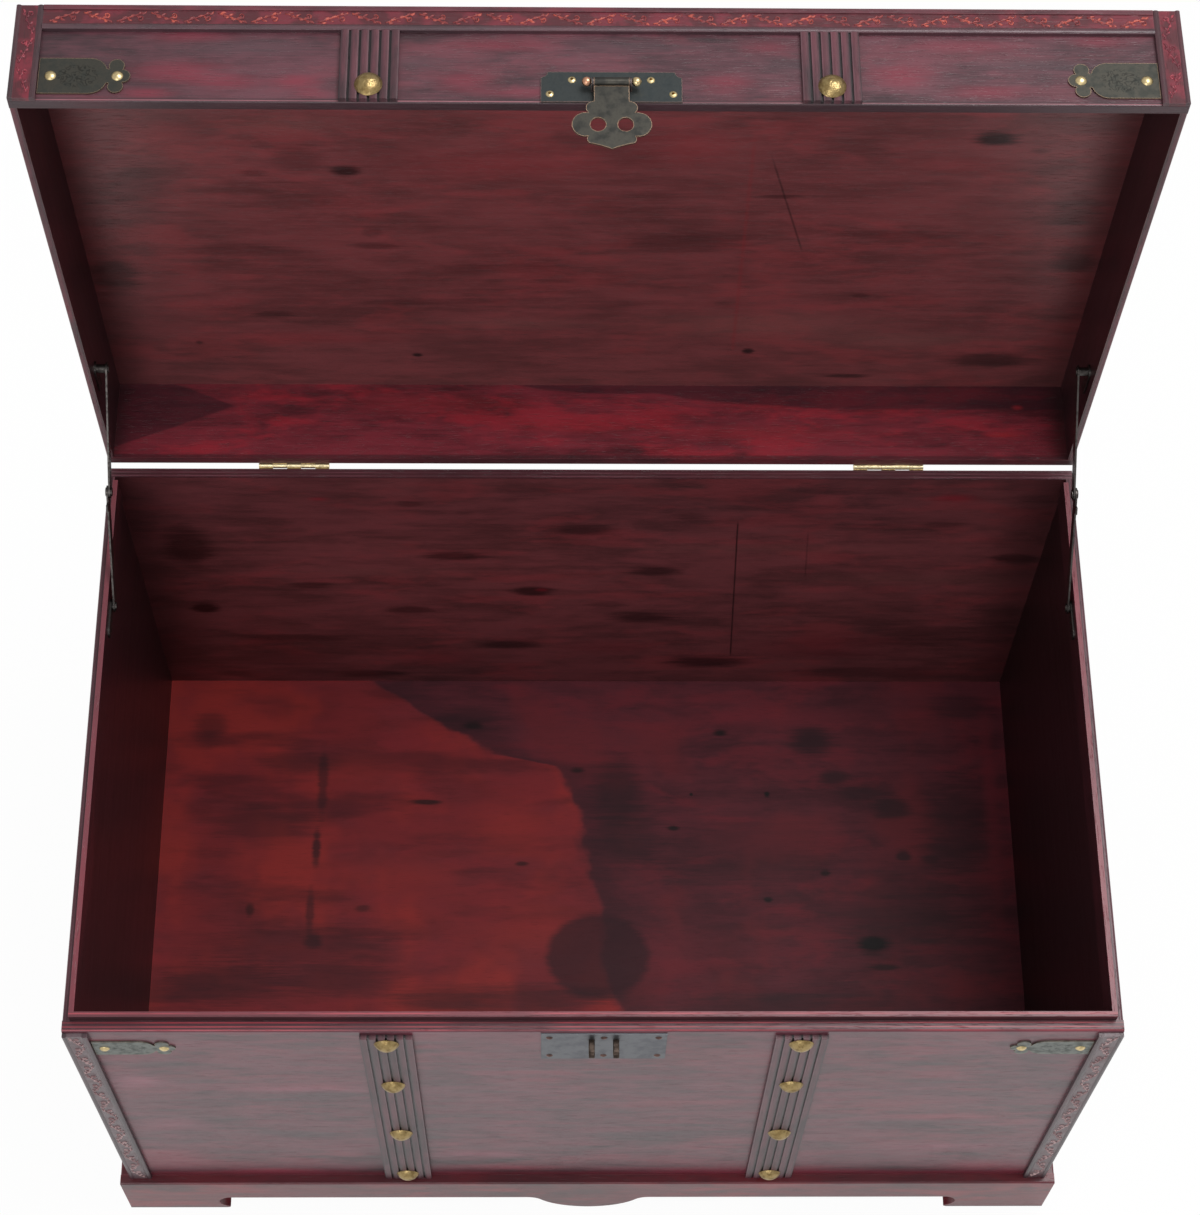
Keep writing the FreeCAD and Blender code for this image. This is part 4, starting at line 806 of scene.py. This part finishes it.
class TRUNK_OT_strips(TrunkOperator):
    """Colour the reeded straps, the posts, the moulding and the border of the lid's top"""
    bl_idname = "trunk.strips"
    bl_label = "Applied strips"

    def make(self, context):
        for name, along in (("front_strap_left", 2), ("front_strap_right", 2), ("lid_strap_left", 1),
                            ("lid_strap_right", 1), ("lid_top_straps", 2)):
            self.strap(name, along)
        for name, along in (("lid_top_border_front", 0), ("lid_top_border_back", 0),
                            ("lid_top_border_sides", 2)):
            board = Wood(name, along, (1.0, 1.1, 1.15), 0.0, 0.3)
            board.worn(0.4)
            coat([name], board.done())
        for name, along in (("front_post_left", 2), ("front_post_right", 2), ("lid_post_left", 1),
                            ("lid_post_right", 1)):
            self.post(name, along)
        self.moulding()

    def strap(self, name, along):
        pitch = (STRAP_W + GROOVE_W) / REEDS
        groove = pitch - GROOVE_W
        on_box = name.startswith("front")
        board = Wood(name, along, (0.78, 1.15, 1.15) if on_box else (0.85, 1.1, 1.15), 0.02, 0.12)
        phase = (abs(board.x) - (STRAP_X - STRAP_W / 2)) % pitch
        gap = phase.ramp(groove - 0.0004, groove + 0.0001)
        # painted shade: the grooves are near black and the side of each reed is darker next to its groove
        board.paint(phase.ramp(groove - 0.0022, groove) * 0.6, display(38, 28, 34))
        board.paint(gap * 0.95, display(16, 9, 12))
        board.paint(phase.near(0.0004, 0.0006) * 0.25, display(120, 98, 104))
        coat([name], board.done(0.44))

    def post(self, name, along):
        on_box = name.startswith("front")
        board = Wood(name, along, (0.7, 1.2, 1.2) if on_box else (0.9, 1.0, 1.05), 0.0, 0.15)
        band = abs(board.x).ramp(BAND_INNER, BAND_INNER + BAND_EDGE) \
            * abs(board.x).ramp(BAND_OUTER, BAND_OUTER - BAND_EDGE)
        patches = board.cloud(70.0, 0.42, 0.6, 3)
        ground = board.blend(patches, display(74, 44, 50) if on_box else bpy.context.scene.trunk_vine.ground,
                             display(92, 76, 80) if on_box else display(112, 32, 46))
        board.paint(band * 0.9, ground)
        board.paint((1.0 - band) * 0.4, display(54, 46, 50))
        board.worn(0.35, display(140, 112, 118), 0.0008)
        coat([name], board.done())

    def moulding(self):
        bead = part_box("lid_vine_moulding")[0].y + BEAD_W
        board = Wood("lid_vine_moulding", 0, (0.9, 1.05, 1.1), 0.0, 0.15)
        patches = board.cloud(60.0, 0.44, 0.6, 3)
        ground = board.blend(patches, bpy.context.scene.trunk_vine.ground, display(104, 34, 46))
        board.paint(board.y.ramp(bead, bead + 0.0006) * 0.95, ground)
        board.paint(board.y.ramp(bead, bead - 0.0006) * 0.5, display(74, 60, 66))
        board.line(board.y, bead, 0.0007, display(24, 14, 16), 1.0)
        board.worn(0.35, display(128, 96, 102), 0.0008)
        coat(["lid_vine_moulding"], board.done())


class TRUNK_OT_scrolls(TrunkOperator):
    """Carve the running sprigs of the posts and of the lid's moulding"""
    bl_idname = "trunk.scrolls"
    bl_label = "Scrollwork"

    def make(self, context):
        light = context.scene.trunk_vine.light
        lid_wood = self.wood("lid_scroll_wood", light, display(112, 38, 42), 0.42)
        end_wood = self.wood("lid_post_scroll_wood", display(150, 58, 70), display(92, 30, 42), 0.45)
        post_wood = self.wood("post_scroll_wood", display(178, 150, 150), display(130, 98, 100), 0.5)
        middle = (BAND_INNER + BAND_OUTER) / 2
        spare = SCROLL_GAP * 2
        for side in (-1, 1):
            low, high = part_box("front_post_right")
            corner = (side * middle, low.y + BAND_SUNK, low.z + SCROLL_GAP)
            face = Face(corner, (0, 0, 1), (side, 0, 0), (0, -1, 0))
            self.carve("post_scroll", side, face, high.z - low.z - spare, POST_SCROLL_W, post_wood, "trunk")
            low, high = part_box("lid_post_right")
            corner = (side * middle, low.y + SCROLL_GAP, high.z - BAND_SUNK)
            face = Face(corner, (0, 1, 0), (side, 0, 0), (0, 0, 1))
            self.carve("lid_post_scroll", side, face, high.y - low.y - spare, POST_SCROLL_W, end_wood, "lid")
        low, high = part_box("lid_vine_moulding")
        corner = (low.x + SCROLL_GAP, (low.y + BEAD_W + high.y) / 2, high.z - BAND_SUNK)
        face = Face(corner, (1, 0, 0), (0, 1, 0), (0, 0, 1))
        self.carve("moulding_scroll", 1, face, high.x - low.x - spare, MOULDING_SCROLL_W, lid_wood, "lid")

    def wood(self, name, light, shade, gloss):
        shader = Wood(name, 0)
        spark = shader.cloud(420.0, 0.42, 0.6) * shader.cloud(60.0, 0.35, 0.55)
        shader.colour = shader.blend(spark, shade, light)
        return shader.done(gloss)

    def carve(self, name, side, face, length, band, material, body):
        label = name + ("_left" if side < 0 else "_right")
        piece(label, lambda work: vine(work, face, length, band), material, body)


class Metal(Shader):
    """Rubbed metal with darker grime."""

    def __init__(self, name, colour, shade, grime=0.5, scale=300.0):
        super().__init__(name)
        self.dirt = self.cloud(scale, 0.42, 0.66, 4)
        self.fleck = self.cloud(scale * 5, 0.5, 0.7)
        self.colour = self.blend(self.dirt * grime, colour, shade)
        self.paint(self.fleck * 0.2, [c * 0.5 for c in shade])
        self.scale = scale

    def edge(self, colour, radius=0.0009, strength=0.85):
        """Bright rubbed line round the outline, which also stands in for the highlight along the edges."""
        self.paint(self.arris(radius) * strength, colour)

    def engraved(self, across, up, centre, size):
        """Fine scrollwork scratched into an oval field."""
        lines = self.add("ShaderNodeTexWave", {"wave_type": "RINGS"},
                         {"Vector": self.place, "Scale": 150.0, "Distortion": 16.0, "Detail": 1.0,
                          "Detail Scale": 1.6}).ramp(0.3, 0.12)
        field = self.oval(across, up, centre, size).ramp(1.0, 0.75)
        self.paint(lines * field * 0.45, (0.01, 0.011, 0.012))

    def done(self, gloss, dent=0.00003, dent_scale=2.2):
        height = self.noise(self.place, self.scale * dent_scale, 2)
        return self.surface(self.dirt * 0.15 + gloss, self.bump(height, dent), Metallic=1.0)


class TRUNK_OT_fittings(TrunkOperator):
    """Finish the studs, nails, hinges, stays, catch and plates"""
    bl_idname = "trunk.fittings"
    bl_label = "Metal fittings"

    def make(self, context):
        metal = context.scene.trunk_metal
        studs = Metal("gold_studs", metal.gold, display(104, 82, 46), 0.55, 220.0)
        coat(["body_studs", "lid_studs"], studs.done(0.38, 0.0007, 1.6))
        nails = Metal("brass_nails", metal.brass, display(120, 112, 70), 0.4)
        nails.edge(display(90, 84, 56), 0.0006, 0.6)
        coat(["body_plate_nails", "lid_plate_nails", "hasp_eyelets"], nails.done(0.34, 0.0001))
        rusty = Metal("catch_nails", display(104, 80, 74), display(48, 40, 40), 0.5)
        coat(["catch_nails"], rusty.done(0.36, 0.0001))
        self.pin(metal)
        hinges = Metal("brass_hinges", display(220, 204, 164), display(140, 124, 84), 0.35)
        coat(["hinge_lower_leaves", "hinge_pins", "hinge_lower_screws", "hinge_upper_leaves",
              "hinge_upper_screws"], hinges.done(0.3))
        self.plates(metal)
        staples = Metal("staple_band", display(70, 60, 54), display(30, 26, 24), 0.6)
        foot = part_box("catch_staples")[0].z
        # painted reflection: the bright tip at the foot stands for the floor mirrored in it, and the band's
        # dark colour partly stands for the dark inside of the trunk that it mirrors
        staples.paint(staples.z.ramp(foot + 0.003, foot + 0.001) * 0.8, display(200, 168, 130))
        coat(["catch_staples"], staples.done(0.34))
        steel = Metal("stay_steel", metal.steel, display(44, 40, 38), 0.6)
        coat(["stay_trunk_bracket_left", "stay_trunk_bracket_right", "stay_trunk_fasteners",
              "stay_lid_bracket_left", "stay_lid_bracket_right", "stay_lid_fasteners",
              "stay_lower_arm_left", "stay_lower_arm_right", "stay_upper_arm_left",
              "stay_upper_arm_right"], steel.done(0.38))

    def pin(self, metal):
        pin = Metal("hasp_pin", metal.brass, display(140, 122, 80), 0.35)
        low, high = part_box("hasp_pin")
        middle, reach = (low.x + high.x) / 2, (high.x - low.x) / 2
        ball = abs(pin.x - middle).ramp(reach - BALL_W, reach - BALL_W + 0.0004)
        pin.paint((1.0 - ball) * 0.85, display(72, 68, 64))
        pin.paint(ball * pin.x.ramp(middle, middle - 0.002) * 0.7, display(206, 140, 118))
        coat(["hasp_pin"], pin.done(0.26))

    def plates(self, metal):
        lid_plates = Metal("lid_corner_plates", metal.bronze, display(60, 64, 62), 0.5, 200.0)
        low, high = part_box("lid_corner_plates")
        centre = (PLATE_X, (low.y + high.y) / 2 / MM)
        lid_plates.engraved(abs(lid_plates.x), lid_plates.y, centre, FIELD)
        lid_plates.edge(metal.rim, 0.0008, 0.7)
        coat(["lid_corner_plates"], lid_plates.done(0.46))
        body_plates = Metal("body_corner_plates", metal.grey, display(84, 88, 84), 0.5, 200.0)
        low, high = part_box("body_corner_plates")
        centre = (PLATE_X, (low.z + high.z) / 2 / MM)
        body_plates.engraved(abs(body_plates.x), body_plates.z, centre, FIELD)
        body_plates.edge(metal.rim, 0.0008, 0.5)
        coat(["body_corner_plates"], body_plates.done(0.5))
        hasp = Metal("hasp_plate", metal.hasp, display(54, 60, 62), 0.4, 160.0)
        hasp.edge(display(190, 146, 136), 0.0007, 0.7)
        coat(["hasp_plate"], hasp.done(0.44))
        flap = Metal("hasp_flap", metal.flap, display(46, 48, 48), 0.6, 120.0)
        flap.edge(metal.rim, 0.0008, 0.85)
        coat(["hasp_flap"], flap.done(0.42))
        catch = Metal("catch_plate", metal.pewter, display(112, 112, 118), 0.4, 120.0)
        catch.edge(display(80, 78, 82), 0.0008, 0.5)
        coat(["catch_plate"], catch.done(0.45))


class TRUNK_PT_panel(bpy.types.Panel):
    """Lists the steps of the dressing"""
    bl_idname = "TRUNK_PT_panel"
    bl_label = "Storage trunk"
    bl_space_type = "VIEW_3D"
    bl_region_type = "UI"
    bl_category = "Trunk"

    def draw(self, context):
        for operator in OPERATORS:
            self.layout.operator(operator.bl_idname)
        for group in GROUPS:
            settings = getattr(context.scene, group)
            for key in settings.bl_rna.properties.keys():
                if key not in {"rna_type", "name"}:
                    self.layout.prop(settings, key)


GROUPS = {"trunk_stage": TRUNK_PG_stage, "trunk_stain": TRUNK_PG_stain, "trunk_metal": TRUNK_PG_metal,
          "trunk_vine": TRUNK_PG_vine}
OPERATORS = (TRUNK_OT_stage, TRUNK_OT_box, TRUNK_OT_plinth, TRUNK_OT_floor, TRUNK_OT_lips, TRUNK_OT_lid,
             TRUNK_OT_strips, TRUNK_OT_scrolls, TRUNK_OT_fittings)


def register():
    for name, group in GROUPS.items():
        bpy.utils.register_class(group)
        setattr(bpy.types.Scene, name, PointerProperty(type=group))
    for operator in OPERATORS:
        bpy.utils.register_class(operator)
    bpy.utils.register_class(TRUNK_PT_panel)


def unregister():
    bpy.utils.unregister_class(TRUNK_PT_panel)
    for operator in reversed(OPERATORS):
        bpy.utils.unregister_class(operator)
    for name, group in GROUPS.items():
        delattr(bpy.types.Scene, name)
        bpy.utils.unregister_class(group)


def main():
    register()
    for operator in OPERATORS:
        family, name = operator.bl_idname.split(".")
        getattr(getattr(bpy.ops, family), name)()


if __name__ == "__main__":
    main()
